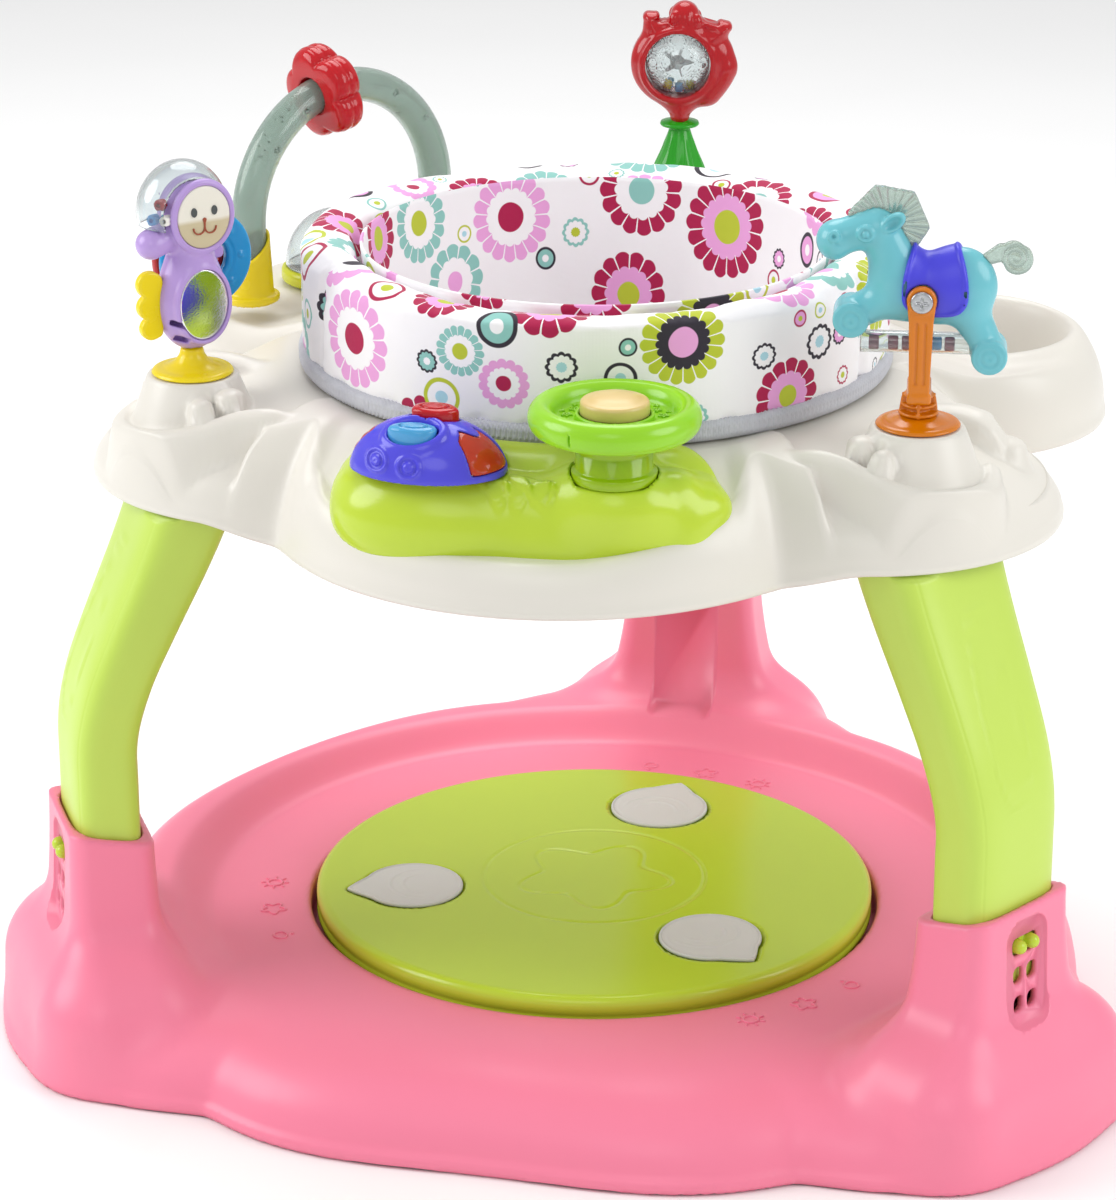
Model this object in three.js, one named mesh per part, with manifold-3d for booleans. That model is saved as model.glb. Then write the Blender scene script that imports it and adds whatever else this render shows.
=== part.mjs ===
// Baby activity jumper: a moulded base with a bouncing foot pad, three adjustable legs, a lobed tray
// with toys, and a padded seat that swivels in the tray. Millimetres, +Z up, the front faces -Y,
// the origin is under the middle of the whole object's box.
import * as THREE from 'three';
import { mergeVertices } from 'three/addons/utils/BufferGeometryUtils.js';
import Module from 'manifold-3d';

const wasm = await Module();
wasm.setup();

// ---------- driving dimensions ----------
const DEG = Math.PI / 180;
const GAP = 0.4;
const WALL = 4;

// the three legs stand at these directions round the centre
const LEGS = [
  { name: 'left', angle: 210, towerTop: 161, slope: 0.2 },
  { name: 'right', angle: 330, towerTop: 161, slope: 0.2 },
  { name: 'rear', angle: 90, towerTop: 168, slope: -0.12 },
];
const LEG_RADIUS = 348;

// base
const BASE_BOTTOM = 1.5;
const BASE_RADIUS = 332;
const BASE_WAVE = 12;
const BASE_LOBE = { centre: 267, radius: 150 };
const FLOOR_Z = 58;
const WELL_Z = 34;
const WELL_RADIUS = 199;
const RIM_RADIUS = 300;
const RIM_RISE = 20;
const SOCKET_FLOOR = 40;
const SLOT_PITCH = 20;
const SLOT_TOP_Z = 140;
const SLOT = { width: 26, height: 13 };
const FOOT_RADIUS = 378;

// foot pad
const PAD_RADIUS = 195;
const PAD_TOP = 70;
const BUTTON_RING = 128;
const BUTTON_ANGLES = [201, 321, 81];
const BUTTON_NAMES = ['left', 'front', 'rear'];
const BUTTON_RADIUS = 35;

// tray
const TRAY_HOLE = 168;
const TRAY_Z = 452;
const TRAY_BODY = 238;
const FRONT_LOBE = { angle: 270, centre: 100, radius: 190 };
const LEG_LOBES = [199, 341];
const LEG_LOBE = { centre: 208, radius: 128 };
const BACK_LOBES = [146, 34];
const BACK_LOBE = { centre: 262, radius: 110 };
const REAR_LOBE = { angle: 90, centre: 205, radius: 108 };
const LIP_FRONT = 372;
const LIP_SIDE = 384;
const LIP_HEIGHT = 37;
const TOY_RING = 275;
const BOWL = { ring: 279, angle: 34, radius: 70, depth: 44 };
const SHELF = { ring: 276, angle: 146, radius: 72, top: 450 };

// seat
const COLLAR = { radius: 178, z: 502.5, half: 17.5, halfHeight: 37.5 };

// ---------- small helpers ----------
const clamp01 = (t) => Math.min(1, Math.max(0, t));
const smooth = (t) => clamp01(t) ** 2 * (3 - 2 * clamp01(t));
const smoothMax = (a, b, k) => (a + b + Math.hypot(a - b, k)) / 2;
const polar = (r, degrees, z = 0) => new THREE.Vector3(r * Math.cos(degrees * DEG), r * Math.sin(degrees * DEG), z);

function turn(degrees, from) {
  return ((degrees - from + 540) % 360) - 180;
}

// distance from the centre to the edge of a round lobe, in the direction of `degrees`
function lobeEdge(degrees, angle, { centre, radius }) {
  const phi = turn(degrees, angle) * DEG;
  const side = centre * Math.sin(phi);
  if (Math.abs(side) > radius) {
    return 0;
  }
  return Math.max(0, centre * Math.cos(phi) + Math.sqrt(radius ** 2 - side ** 2));
}

// one closed geometry with merged corners, no empty triangles and its faces pointing out
function closeUp(geometry) {
  const bare = geometry.clone();
  bare.deleteAttribute('normal');
  bare.deleteAttribute('uv');
  const merged = mergeVertices(bare, 1e-3);
  const p = merged.attributes.position;
  const kept = [];
  let volume = 0;
  const [a, b, c] = [new THREE.Vector3(), new THREE.Vector3(), new THREE.Vector3()];
  for (let i = 0; i < merged.index.count; i += 3) {
    const [i0, i1, i2] = [merged.index.getX(i), merged.index.getX(i + 1), merged.index.getX(i + 2)];
    if (i0 === i1 || i1 === i2 || i2 === i0) {
      continue;
    }
    kept.push([i0, i1, i2]);
    a.fromBufferAttribute(p, i0);
    b.fromBufferAttribute(p, i1);
    c.fromBufferAttribute(p, i2);
    volume += a.dot(b.cross(c));
  }
  merged.setIndex(kept.flatMap(([i0, i1, i2]) => (volume < 0 ? [i0, i2, i1] : [i0, i1, i2])));
  return merged;
}

function toSolid(geometry) {
  const g = closeUp(geometry);
  return new wasm.Manifold(new wasm.Mesh({
    numProp: 3,
    vertProperties: new Float32Array(g.attributes.position.array),
    triVerts: new Uint32Array(g.index.array),
  }));
}

function toGeometry(solid) {
  const mesh = solid.getMesh();
  const g = new THREE.BufferGeometry();
  g.setAttribute('position', new THREE.BufferAttribute(new Float32Array(mesh.vertProperties), 3));
  g.setIndex(new THREE.BufferAttribute(new Uint32Array(mesh.triVerts), 1));
  return g;
}

const join = (...parts) => toGeometry(parts.map(toSolid).reduce((sum, part) => sum.add(part)));

function cut(body, ...tools) {
  return toGeometry(tools.map(toSolid).reduce((rest, tool) => rest.subtract(tool), toSolid(body)));
}

const common = (a, b) => toGeometry(toSolid(a).intersect(toSolid(b)));

// a surface through rings of points; open rows get flat ends, closed rows join up like a torus
function skin(rings, closed = false) {
  const n = rings[0].length;
  const points = rings.flat();
  const index = [];
  const rows = closed ? rings.length : rings.length - 1;
  for (let i = 0; i < rows; i += 1) {
    for (let j = 0; j < n; j += 1) {
      const [a, b] = [i * n + j, i * n + ((j + 1) % n)];
      const next = ((i + 1) % rings.length) * n;
      const [c, d] = [next + ((j + 1) % n), next + j];
      index.push(a, b, c, a, c, d);
    }
  }
  if (!closed) {
    const last = (rings.length - 1) * n;
    const middle = (ring) => ring.reduce((s, p) => s.add(p), new THREE.Vector3()).divideScalar(n);
    points.push(middle(rings[0]), middle(rings[rings.length - 1]));
    for (let j = 0; j < n; j += 1) {
      const k = (j + 1) % n;
      index.push(points.length - 2, k, j, points.length - 1, last + j, last + k);
    }
  }
  const g = new THREE.BufferGeometry();
  g.setAttribute('position', new THREE.Float32BufferAttribute(points.flatMap((p) => [p.x, p.y, p.z]), 3));
  g.setIndex(index);
  return closeUp(g);
}

// points of a rounded rectangle (a superellipse) with half sizes a and b
function softBox(a, b, n = 16, power = 3.4) {
  return Array.from({ length: n }, (_, i) => {
    const t = (i / n) * 2 * Math.PI;
    const bend = (v) => Math.sign(v) * Math.abs(v) ** (2 / power);
    return new THREE.Vector2(a * bend(Math.cos(t)), b * bend(Math.sin(t)));
  });
}

// a tube of rounded-rectangle sections standing at a direction round the centre
function upright(angle, sections, tilt = 0) {
  return skin(sections.map(({ z, r, across, deep }, i) => softBox(deep, across).map((p) => {
    const rise = i === sections.length - 1 ? tilt * p.x : 0;
    return new THREE.Vector3(r + p.x, p.y, z + rise).applyAxisAngle(new THREE.Vector3(0, 0, 1), angle * DEG);
  })));
}

function lathe(profile, segments = 16) {
  const g = new THREE.LatheGeometry(profile.map(([r, z]) => new THREE.Vector2(r, z)), segments);
  g.rotateX(Math.PI / 2);
  return closeUp(g);
}

const disc = (r, z0, z1, segments = 16) => lathe([[0, z0], [r, z0], [r, z1], [0, z1]], segments);

function ball(rx, ry, rz, x = 0, y = 0, z = 0) {
  const g = new THREE.SphereGeometry(1, 10, 7);
  g.rotateX(Math.PI / 2);
  g.scale(rx, ry, rz);
  g.translate(x, y, z);
  return closeUp(g);
}

function block(x, y, z, cx = 0, cy = 0, cz = 0) {
  const g = new THREE.BoxGeometry(x, y, z);
  g.translate(cx, cy, cz);
  return closeUp(g);
}

const rodY = (r, y0, y1, x = 0, z = 0, n = 10) => {
  const g = new THREE.CylinderGeometry(r, r, y1 - y0, n);
  g.translate(x, (y0 + y1) / 2, z);
  return closeUp(g);
};

// a flat outline in the X-Z plane, made `thick` deep along Y with rounded edges
function plate(shape, thick, bevel, y = 0) {
  const g = new THREE.ExtrudeGeometry(shape, {
    depth: thick - 2 * bevel,
    bevelEnabled: bevel > 0,
    bevelThickness: bevel,
    bevelSize: bevel,
    bevelOffset: -bevel,
    bevelSegments: 2,
    curveSegments: 10,
  });
  g.translate(0, 0, -(thick / 2 - bevel));
  g.rotateX(Math.PI / 2);
  g.translate(0, y, 0);
  return closeUp(g);
}

// a smooth closed outline through a few points
function outline(points, samples = 36) {
  const curve = new THREE.CatmullRomCurve3(points.map(([x, z]) => new THREE.Vector3(x, z, 0)), true, 'centripetal');
  return new THREE.Shape(curve.getPoints(samples).slice(0, -1).map((p) => new THREE.Vector2(p.x, p.y)));
}

// a ring in the X-Z plane with a round hole, soft edges and `petals` bumps round its rim
function petalRing({ petals = 0, radius, wave = 0, hole, thick, edge, samples = 48 }) {
  const rim = (t) => radius + wave * (Math.abs(Math.cos((petals * t) / 2)) - 0.6);
  const half = thick / 2;
  const rows = [[0, -half, true], [-edge, -half], [-edge * 0.3, -half + edge * 0.3], [0, -half + edge],
    [0, half - edge], [-edge * 0.3, half - edge * 0.3], [-edge, half], [0, half, true]];
  return skin(rows.map(([inset, y, inner]) => Array.from({ length: samples }, (_, i) => {
    const t = (i / samples) * 2 * Math.PI;
    const r = inner ? hole : rim(t) + inset;
    return new THREE.Vector3(r * Math.sin(t), y, r * Math.cos(t));
  })), true);
}

const moved = (geometry, x, y, z) => geometry.clone().translate(x, y, z);

const material = (color, roughness = 0.35, metalness = 0) => (
  new THREE.MeshStandardMaterial({ color, roughness, metalness }));

const PINK = material(0xf5789f, 0.3);
const LIME = material(0xbfdf4f, 0.3);
const CREAM = material(0xdedcd4, 0.35);
const GREY = material(0xd0d0ce, 0.45);
const DARK = material(0x3c3c40, 0.7);
const STEEL = material(0xb4b6ba, 0.3, 0.9);
const FABRIC = material(0xf2eef0, 0.9);
const WHITE = material(0xf0efe9, 0.5);
const GREEN = material(0x93dd45, 0.25);
const PEACH = material(0xecc795, 0.35);
const VIOLET = material(0x5b56d4, 0.2);
const RED = material(0xd01f2d, 0.2);
const ORANGE = material(0xe87a17, 0.3);
const YELLOW = material(0xf3d90f, 0.3);
const LAVENDER = material(0xb9a0dc, 0.3);
const BLUE = material(0x2196cf, 0.25);
const TURQUOISE = material(0x74c7d4, 0.35);
const STEM = material(0x2fae3a, 0.3);
const CLEAR = material(0xe6ecf0, 0.08);
const SMOKE = material(0xb4c4bc, 0.2);

const jumper = new THREE.Group();

function add(name, geometry, mat, parent = jumper) {
  const mesh = new THREE.Mesh(geometry, mat);
  mesh.name = name;
  parent.add(mesh);
  return mesh;
}

// ---------- base ----------
function baseRadius(degrees) {
  const body = BASE_RADIUS - BASE_WAVE * Math.cos(6 * turn(degrees, 270) * DEG);
  return LEGS.reduce((r, leg) => smoothMax(r, lobeEdge(degrees, leg.angle, BASE_LOBE), 10), body);
}

function baseRing(makePoint, count = 40) {
  return Array.from({ length: count }, (_, i) => {
    const degrees = (i / count) * 360;
    const [r, z] = makePoint(degrees);
    return polar(r, degrees, z);
  });
}

function baseDish() {
  const rise = (degrees) => RIM_RISE * smooth((Math.abs(turn(degrees, 270)) - 38) / 34);
  const side = [0.45, 0.75, 0.94];
  const fall = (t) => (1 - t ** 2.4) ** (1 / 2.4);
  const floor = [[266, 0], [284, 0.6], [RIM_RADIUS, 1]];
  const outer = [
    baseRing(() => [20, WELL_Z]),
    baseRing(() => [WELL_RADIUS - 1, WELL_Z]),
    baseRing(() => [WELL_RADIUS, FLOOR_Z - 2]),
    baseRing(() => [WELL_RADIUS + 2, FLOOR_Z]),
    ...floor.map(([r, up]) => baseRing((a) => [r, FLOOR_Z + up * rise(a)])),
    ...side.map((t) => baseRing((a) => [
      RIM_RADIUS + (baseRadius(a) - RIM_RADIUS) * t, (FLOOR_Z + rise(a)) * fall(t)])),
    baseRing((a) => [baseRadius(a), BASE_BOTTOM]),
  ];
  const inner = [
    baseRing((a) => [baseRadius(a) - WALL, BASE_BOTTOM]),
    ...side.slice().reverse().map((t) => baseRing((a) => [
      RIM_RADIUS + (baseRadius(a) - WALL - RIM_RADIUS) * t, (FLOOR_Z + rise(a) - WALL) * fall(t)])),
    ...floor.slice().reverse().map(([r, up]) => baseRing((a) => [r + 1, FLOOR_Z - WALL + up * rise(a)])),
    baseRing(() => [WELL_RADIUS + WALL, FLOOR_Z - WALL]),
    baseRing(() => [WELL_RADIUS + WALL, WELL_Z - WALL]),
    baseRing(() => [20, WELL_Z - WALL]),
  ];
  return skin([...outer, ...inner]);
}

function tower(leg) {
  const sections = [
    { z: BASE_BOTTOM, across: 108, deep: 62 },
    { z: 68, across: 92, deep: 49 },
    { z: 92, across: 75, deep: 40 },
    { z: 116, across: 58, deep: 32 },
    { z: leg.towerTop, across: 49, deep: 28.3 },
  ];
  return upright(leg.angle, sections.map((s) => ({ ...s, r: LEG_RADIUS })), leg.slope);
}

function socket(leg) {
  const size = { r: LEG_RADIUS, across: 44.8, deep: 24.3 };
  return upright(leg.angle, [{ z: SOCKET_FLOOR, ...size }, { z: 220, ...size }]);
}

function underTower(leg) {
  const r = LEG_RADIUS;
  return upright(leg.angle, [
    { z: -5, r, across: 103, deep: 57 },
    { z: SOCKET_FLOOR - WALL, r, across: 98, deep: 51 },
  ]);
}

function slotCutters(leg) {
  return [0, 1, 2].map((step) => {
    const g = new THREE.BoxGeometry(20, SLOT.width, SLOT.height);
    g.translate(LEG_RADIUS + 30, 0, SLOT_TOP_Z - step * SLOT_PITCH);
    g.rotateZ(leg.angle * DEG);
    return g;
  });
}

function baseShell() {
  let shell = toSolid(baseDish());
  LEGS.forEach((leg) => {
    shell = shell.add(toSolid(tower(leg)));
  });
  LEGS.forEach((leg) => {
    [underTower(leg), socket(leg), ...slotCutters(leg)].forEach((tool) => {
      shell = shell.subtract(toSolid(tool));
    });
    const boss = disc(24, 4.6, SOCKET_FLOOR - 2, 10);
    boss.translate(...polar(FOOT_RADIUS, leg.angle).toArray());
    shell = shell.add(toSolid(boss));
  });
  return toGeometry(shell);
}

add('base_shell', baseShell(), PINK);
LEGS.forEach((leg) => {
  const foot = lathe([[0, 0], [16, 0], [18, 1.5], [18, 4.2], [0, 4.2]], 14);
  add(`foot_${leg.name}`, foot, DARK).position.copy(polar(FOOT_RADIUS, leg.angle));
});

const SOUND_Y = -244;
add('sound_unit', block(92, 30, 22, 0, SOUND_Y, 41), WHITE);
add('battery_door', block(70, 26, 2.6, 0, SOUND_Y, 28), GREY);

// ---------- foot pad ----------
function helix(radius, wire, z0, z1, turns) {
  class Coil extends THREE.Curve {
    getPoint(t, target = new THREE.Vector3()) {
      const a = t * turns * 2 * Math.PI;
      return target.set(radius * Math.cos(a), radius * Math.sin(a), z0 + (z1 - z0) * t);
    }
  }
  const section = new THREE.Shape().absarc(0, 0, wire, 0, 2 * Math.PI, false);
  const g = new THREE.ExtrudeGeometry(section, {
    steps: turns * 12, extrudePath: new Coil(), bevelEnabled: false, curveSegments: 3,
  });
  return closeUp(g);
}

// a round foot button whose tip points away from the centre of the pad
function buttonGeometry(grow, z0, z1) {
  const ring = (z, inset) => Array.from({ length: 24 }, (_, i) => {
    const t = (i / 24) * 2 * Math.PI;
    const tip = 11 * Math.max(0, 1 - Math.abs(turn(t / DEG, 0)) / 30) ** 1.5;
    const r = BUTTON_RADIUS + tip + grow - inset;
    return new THREE.Vector3(r * Math.cos(t), r * Math.sin(t), z);
  });
  return skin([ring(z0, 0), ring(z1 - 1, 0), ring(z1, 1.5)]);
}

function bouncePad() {
  const shell = lathe([
    [0, PAD_TOP - 6], [PAD_RADIUS - 7, PAD_TOP - 6.5], [PAD_RADIUS - 4, PAD_TOP - 9], [PAD_RADIUS - 4, 50],
    [PAD_RADIUS, 50], [PAD_RADIUS, PAD_TOP - 4], [PAD_RADIUS - 3, PAD_TOP - 1], [PAD_RADIUS - 8, PAD_TOP],
    [0, PAD_TOP]], 36);
  const pockets = BUTTON_ANGLES.map((angle) => {
    const pocket = buttonGeometry(0.6, PAD_TOP - 3.5, PAD_TOP + 20);
    pocket.rotateZ(angle * DEG);
    return pocket.translate(...polar(BUTTON_RING, angle).toArray());
  });
  return cut(shell, ...pockets);
}

add('pad_turntable', lathe([
  [0, WELL_Z + GAP], [42, WELL_Z + GAP], [42, 38], [186, 38], [188, 39], [188, 41], [34, 41], [32, 44], [0, 44]],
32), GREY);
add('pad_spring', helix(48, 2.4, 43.8, 61.2, 3), STEEL);
add('bounce_pad', bouncePad(), LIME);
BUTTON_ANGLES.forEach((angle, i) => {
  const button = add(`step_button_${BUTTON_NAMES[i]}`, buttonGeometry(0, 68.8, 71.8), GREY);
  button.position.copy(polar(BUTTON_RING, angle));
  button.rotation.z = angle * DEG;
});

// ---------- tray ----------
function trayRadius(degrees) {
  let r = smoothMax(TRAY_BODY, lobeEdge(degrees, FRONT_LOBE.angle, FRONT_LOBE), 8);
  LEG_LOBES.forEach((angle) => {
    r = smoothMax(r, lobeEdge(degrees, angle, LEG_LOBE), 8);
  });
  BACK_LOBES.forEach((angle) => {
    r = smoothMax(r, lobeEdge(degrees, angle, BACK_LOBE), 8);
  });
  return smoothMax(r, lobeEdge(degrees, REAR_LOBE.angle, REAR_LOBE), 8);
}

function lipBottom(degrees) {
  return LIP_FRONT + (LIP_SIDE - LIP_FRONT) * smooth((Math.abs(turn(degrees, 270)) - 38) / 10);
}

function trayTop(x, y) {
  const r = Math.hypot(x, y);
  const degrees = Math.atan2(y, x) / DEG;
  const shoulder = lipBottom(degrees) + LIP_HEIGHT;
  const out = clamp01((r - 204) / (trayRadius(degrees) - 12 - 204));
  let z = TRAY_Z - (TRAY_Z - shoulder) * out ** 1.6;
  LEGS.forEach((leg) => {
    const p = polar(TOY_RING, leg.angle);
    const near = Math.hypot(x - p.x, y - p.y);
    const top = leg.name === 'rear' ? 460 : 466;
    z += (top - z) * smooth((72 - near) / 34);
  });
  const bowl = polar(BOWL.ring, BOWL.angle);
  z -= BOWL.depth * smooth((BOWL.radius - Math.hypot(x - bowl.x, y - bowl.y)) / 24);
  const shelf = polar(SHELF.ring, SHELF.angle);
  z += (SHELF.top - z) * smooth((SHELF.radius - Math.hypot(x - shelf.x, y - shelf.y)) / 26);
  return z;
}

const TRAY_STEPS = 48;

function trayRings(points) {
  return points.map((point) => Array.from({ length: TRAY_STEPS }, (_, i) => {
    const degrees = (i / TRAY_STEPS) * 360;
    const [r, z] = point(degrees);
    return polar(r, degrees, z);
  }));
}

const TRAY_SPANS = [0, 0.3, 0.55, 0.8, 1];

function trayPoint(degrees, span, lift, inset = 0) {
  const r = 200 + (trayRadius(degrees) - 12 - inset - 200) * span;
  const p = polar(r, degrees);
  return [r, trayTop(p.x, p.y) + lift];
}

function trayShell() {
  const lip = (inset, up) => (a) => [trayRadius(a) - inset, lipBottom(a) + up];
  return skin(trayRings([
    () => [TRAY_HOLE, TRAY_Z - 1],
    ...TRAY_SPANS.map((s) => (a) => trayPoint(a, s, 0)),
    lip(4, 30),
    lip(0.5, 16),
    lip(0, 5),
    lip(2, 0),
    lip(5, 0),
    lip(5, 14),
    lip(9, 26),
    ...TRAY_SPANS.slice().reverse().map((s) => (a) => trayPoint(a, s, -WALL, 3)),
    () => [TRAY_HOLE, TRAY_Z - WALL],
  ]), true);
}

// everything below the tray's top face, for pieces that stand on the tray
function belowTray() {
  const top = TRAY_SPANS.map((s) => (a) => trayPoint(a, s, GAP));
  return skin(trayRings([
    () => [TRAY_HOLE, 300],
    () => [TRAY_HOLE, TRAY_Z + GAP],
    ...top,
    (a) => [trayRadius(a) - 3.4, lipBottom(a) + 30.6],
    (a) => [trayRadius(a) + 1, lipBottom(a) + 16],
    (a) => [trayRadius(a) + 1, 300],
  ]), true);
}

const UNDER_TRAY = belowTray();
add('tray_shell', trayShell(), CREAM);

function legGeometry(leg) {
  const profile = [
    [100, 348, 43, 22.5], [216, 348, 43, 22.5], [258, 341, 45, 24], [300, 328, 47.5, 26],
    [345, 312, 50.5, 28], [383, 298, 53, 29.5]];
  const outer = upright(leg.angle, profile.map(([z, r, across, deep]) => ({ z, r, across, deep })));
  const tenon = upright(leg.angle, [
    { z: 370, r: 284, across: 36, deep: 13 }, { z: 426, r: 280, across: 34, deep: 12 }]);
  const hollow = upright(leg.angle, profile.map(([z, r, across, deep], i) => ({
    z: z + (i === 0 ? -5 : 0) - (i === profile.length - 1 ? 4 : 0), r, across: across - 3, deep: deep - 3 })));
  const latchHole = block(24, 26, 15, LEG_RADIUS + 20, 0, SLOT_TOP_Z);
  latchHole.rotateZ(leg.angle * DEG);
  return cut(join(outer, tenon), hollow, latchHole);
}

function latchGeometry() {
  const r = LEG_RADIUS;
  const pills = [-6, 6].map((y) => {
    const pill = new THREE.CapsuleGeometry(4, 3, 2, 8);
    pill.rotateX(Math.PI / 2);
    pill.rotateZ(Math.PI / 2);
    return closeUp(pill.translate(r + 26.4, y, SLOT_TOP_Z));
  });
  const tongue = block(9, 21, 8.4, r + 22, 0, SLOT_TOP_Z);
  const back = block(3, 36, 24, r + 16.5, 0, SLOT_TOP_Z);
  return join(tongue, back, ...pills);
}

LEGS.forEach((leg) => {
  add(`leg_${leg.name}`, legGeometry(leg), LIME);
  const latch = latchGeometry();
  latch.rotateZ(leg.angle * DEG);
  add(`latch_${leg.name}`, latch, LIME);
});

// ---------- seat ----------
add('seat_track', lathe([
  [172, TRAY_Z + GAP], [198, TRAY_Z + GAP], [198, 456.6], [172, 456.6], [172, TRAY_Z + GAP]], 36), WHITE);
add('seat_ring', lathe([
  [160, 444], [165, 444], [166, 457.4], [194, 457.4], [194, 463], [160, 463], [160, 444]], 36), WHITE);

function collarGeometry() {
  const rings = softBox(COLLAR.half, COLLAR.halfHeight, 10, 2.8).map((p) => Array.from({ length: 32 }, (_, i) => {
    const lean = (p.y / COLLAR.halfHeight) * -3;
    return polar(COLLAR.radius + p.x + lean, (i / 32) * 360, COLLAR.z + p.y);
  }));
  return skin(rings, true);
}

function slingGeometry() {
  const bagShape = (inset, top, floor) => skin([
    [155, top, 1], [151, 440, 1], [144, 400, 0.97], [126, 350, 0.94], [104, 318, 0.9],
    [70, 302 + floor, 0.86], [20, 299 + floor, 0.86],
  ].map(([r, z, squash]) => Array.from({ length: 24 }, (_, i) => {
    const p = polar(r - inset, (i / 24) * 360, z);
    p.y *= squash;
    return p;
  })));
  const bag = cut(bagShape(0, 532, 0), bagShape(5, 560, 5));
  const legHoles = [-1, 1].map((side) => {
    const g = new THREE.CylinderGeometry(40, 44, 90, 14);
    g.rotateX(Math.PI / 2 - 0.5);
    g.rotateZ(side * 0.55);
    g.translate(side * 66, -100, 344);
    return g;
  });
  return cut(bag, ...legHoles);
}

add('seat_collar', collarGeometry(), FABRIC);
add('seat_sling', slingGeometry(), FABRIC);

// ---------- driving console on the front lobe ----------
const WHEEL = { x: 67, y: -243, z: 494 };
const DOME = { x: -52, y: -243, z: 450, radius: 54, depth: 37, height: 36 };

function consoleShell() {
  const spans = [[396, 1], [420, 0.99], [440, 0.93], [452, 0.8], [456, 0.6]];
  const body = skin(spans.map(([z, scale]) => softBox(40, 31, 24, 2.6).map((p) => {
    const degrees = 270.5 + p.y * scale;
    const r = 241 + p.x * (0.5 + 0.5 * scale);
    return polar(r, degrees, z);
  })));
  const wheelMount = lathe([[0, 420], [42, 420], [40, 448], [35, 459], [0, 459]], 20);
  const domeMount = lathe([[0, 420], [1, 420], [0.99, 440], [0.95, 453], [0, 453]], 20).scale(58, 41, 1);
  const all = join(body, moved(wheelMount, WHEEL.x, WHEEL.y, 0), moved(domeMount, DOME.x, DOME.y, 0));
  const keepOff = disc(199.5, 380, 520, 36);
  const seat = disc(1, 449.7, 500, 20).scale(DOME.radius + 0.8, DOME.depth + 0.8, 1);
  return cut(all, UNDER_TRAY, keepOff, moved(seat, DOME.x, DOME.y, 0), moved(disc(30.6, 450, 480), WHEEL.x, WHEEL.y, 0));
}

add('console_shell', consoleShell(), LIME);
const wheelGroup = new THREE.Group();
wheelGroup.position.set(WHEEL.x, WHEEL.y, 0);
jumper.add(wheelGroup);
add('wheel_neck', lathe([[0, 450.4], [30, 450.4], [30, 462], [27.5, 464], [27.5, 483], [0, 483]]), GREEN, wheelGroup);
add('steering_wheel', lathe([
  [0, 483.5], [36, 484.5], [44, 482], [50, 484], [53.5, 490], [52.5, 497], [48, 502], [42, 503],
  [38, 499.5], [36, 494.5], [27, 494.5], [27, 491], [0, 491]], 24), GREEN, wheelGroup);
add('horn_button', lathe([[0, 494.6], [25.5, 494.6], [25.5, 503], [23.5, 505.6], [0, 507]]), PEACH, wheelGroup);

const domeGroup = new THREE.Group();
domeGroup.position.set(DOME.x, DOME.y, DOME.z);
jumper.add(domeGroup);

const domeBall = (inset) => {
  const g = new THREE.SphereGeometry(1, 20, 10);
  g.rotateX(Math.PI / 2);
  return closeUp(g.scale(DOME.radius - inset, DOME.depth - inset, DOME.height - inset));
};

function domeParts() {
  const whole = common(domeBall(0), block(200, 200, 100, 0, 0, 50.2));
  const hollow = domeBall(5);
  const dome = cut(whole, hollow);
  const wedge = (angle, half, grow) => {
    const shape = new THREE.Shape();
    const reach = 90;
    shape.moveTo(22 - grow, 0);
    shape.lineTo(reach, -reach * Math.tan(half) - grow);
    shape.lineTo(reach, reach * Math.tan(half) + grow);
    const g = new THREE.ExtrudeGeometry(shape, { depth: 27 + 2 * grow, bevelEnabled: false });
    g.translate(0, 0, 4 - grow);
    g.rotateZ(angle);
    return closeUp(g);
  };
  const sides = [{ name: 'left', angle: Math.PI * 0.93 }, { name: 'right', angle: -0.12 * Math.PI }];
  const spread = 0.42;
  const windows = sides.map(({ name, angle }) => ({ name, shape: common(dome, wedge(angle, spread, 0)) }));
  const buttons = [
    { name: 'red', x: 4, y: 5, rx: 16, ry: 11, low: 32.6, high: 44 },
    { name: 'blue', x: -4, y: -18, rx: 16, ry: 9.5, low: 25, high: 37 },
  ].map((b) => ({ ...b, shape: moved(lathe([
    [0, b.low], [1, b.low], [1, b.high - 5], [0.8, b.high - 1], [0, b.high + 0.6]], 20)
    .scale(b.rx, b.ry, 1), b.x, b.y, 0) }));
  const wells = buttons.map((b) => moved(disc(1, -5, 80, 20).scale(b.rx + 0.6, b.ry + 0.6, 1), b.x, b.y, 0));
  const shell = cut(dome, ...sides.map(({ angle }) => wedge(angle, spread, 0.3)), ...wells);
  return { shell, windows, buttons };
}

const dome = domeParts();
add('light_dome', dome.shell, VIOLET, domeGroup);
dome.windows.forEach(({ name, shape }) => add(`dome_window_${name}`, shape, name === 'left' ? RED : ORANGE, domeGroup));
dome.buttons.forEach(({ name, shape }) => add(`dome_button_${name}`, shape, name === 'red' ? RED : BLUE, domeGroup));

// ---------- spinning seahorse on the left lobe ----------
const TOY_Z = 466 + GAP;
const seahorse = new THREE.Group();
seahorse.position.copy(polar(TOY_RING, LEGS[0].angle, TOY_Z));
seahorse.rotation.z = 45 * DEG;
jumper.add(seahorse);

const RING_PEG = { x: 24, z: 76, radius: 4.5 };

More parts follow.
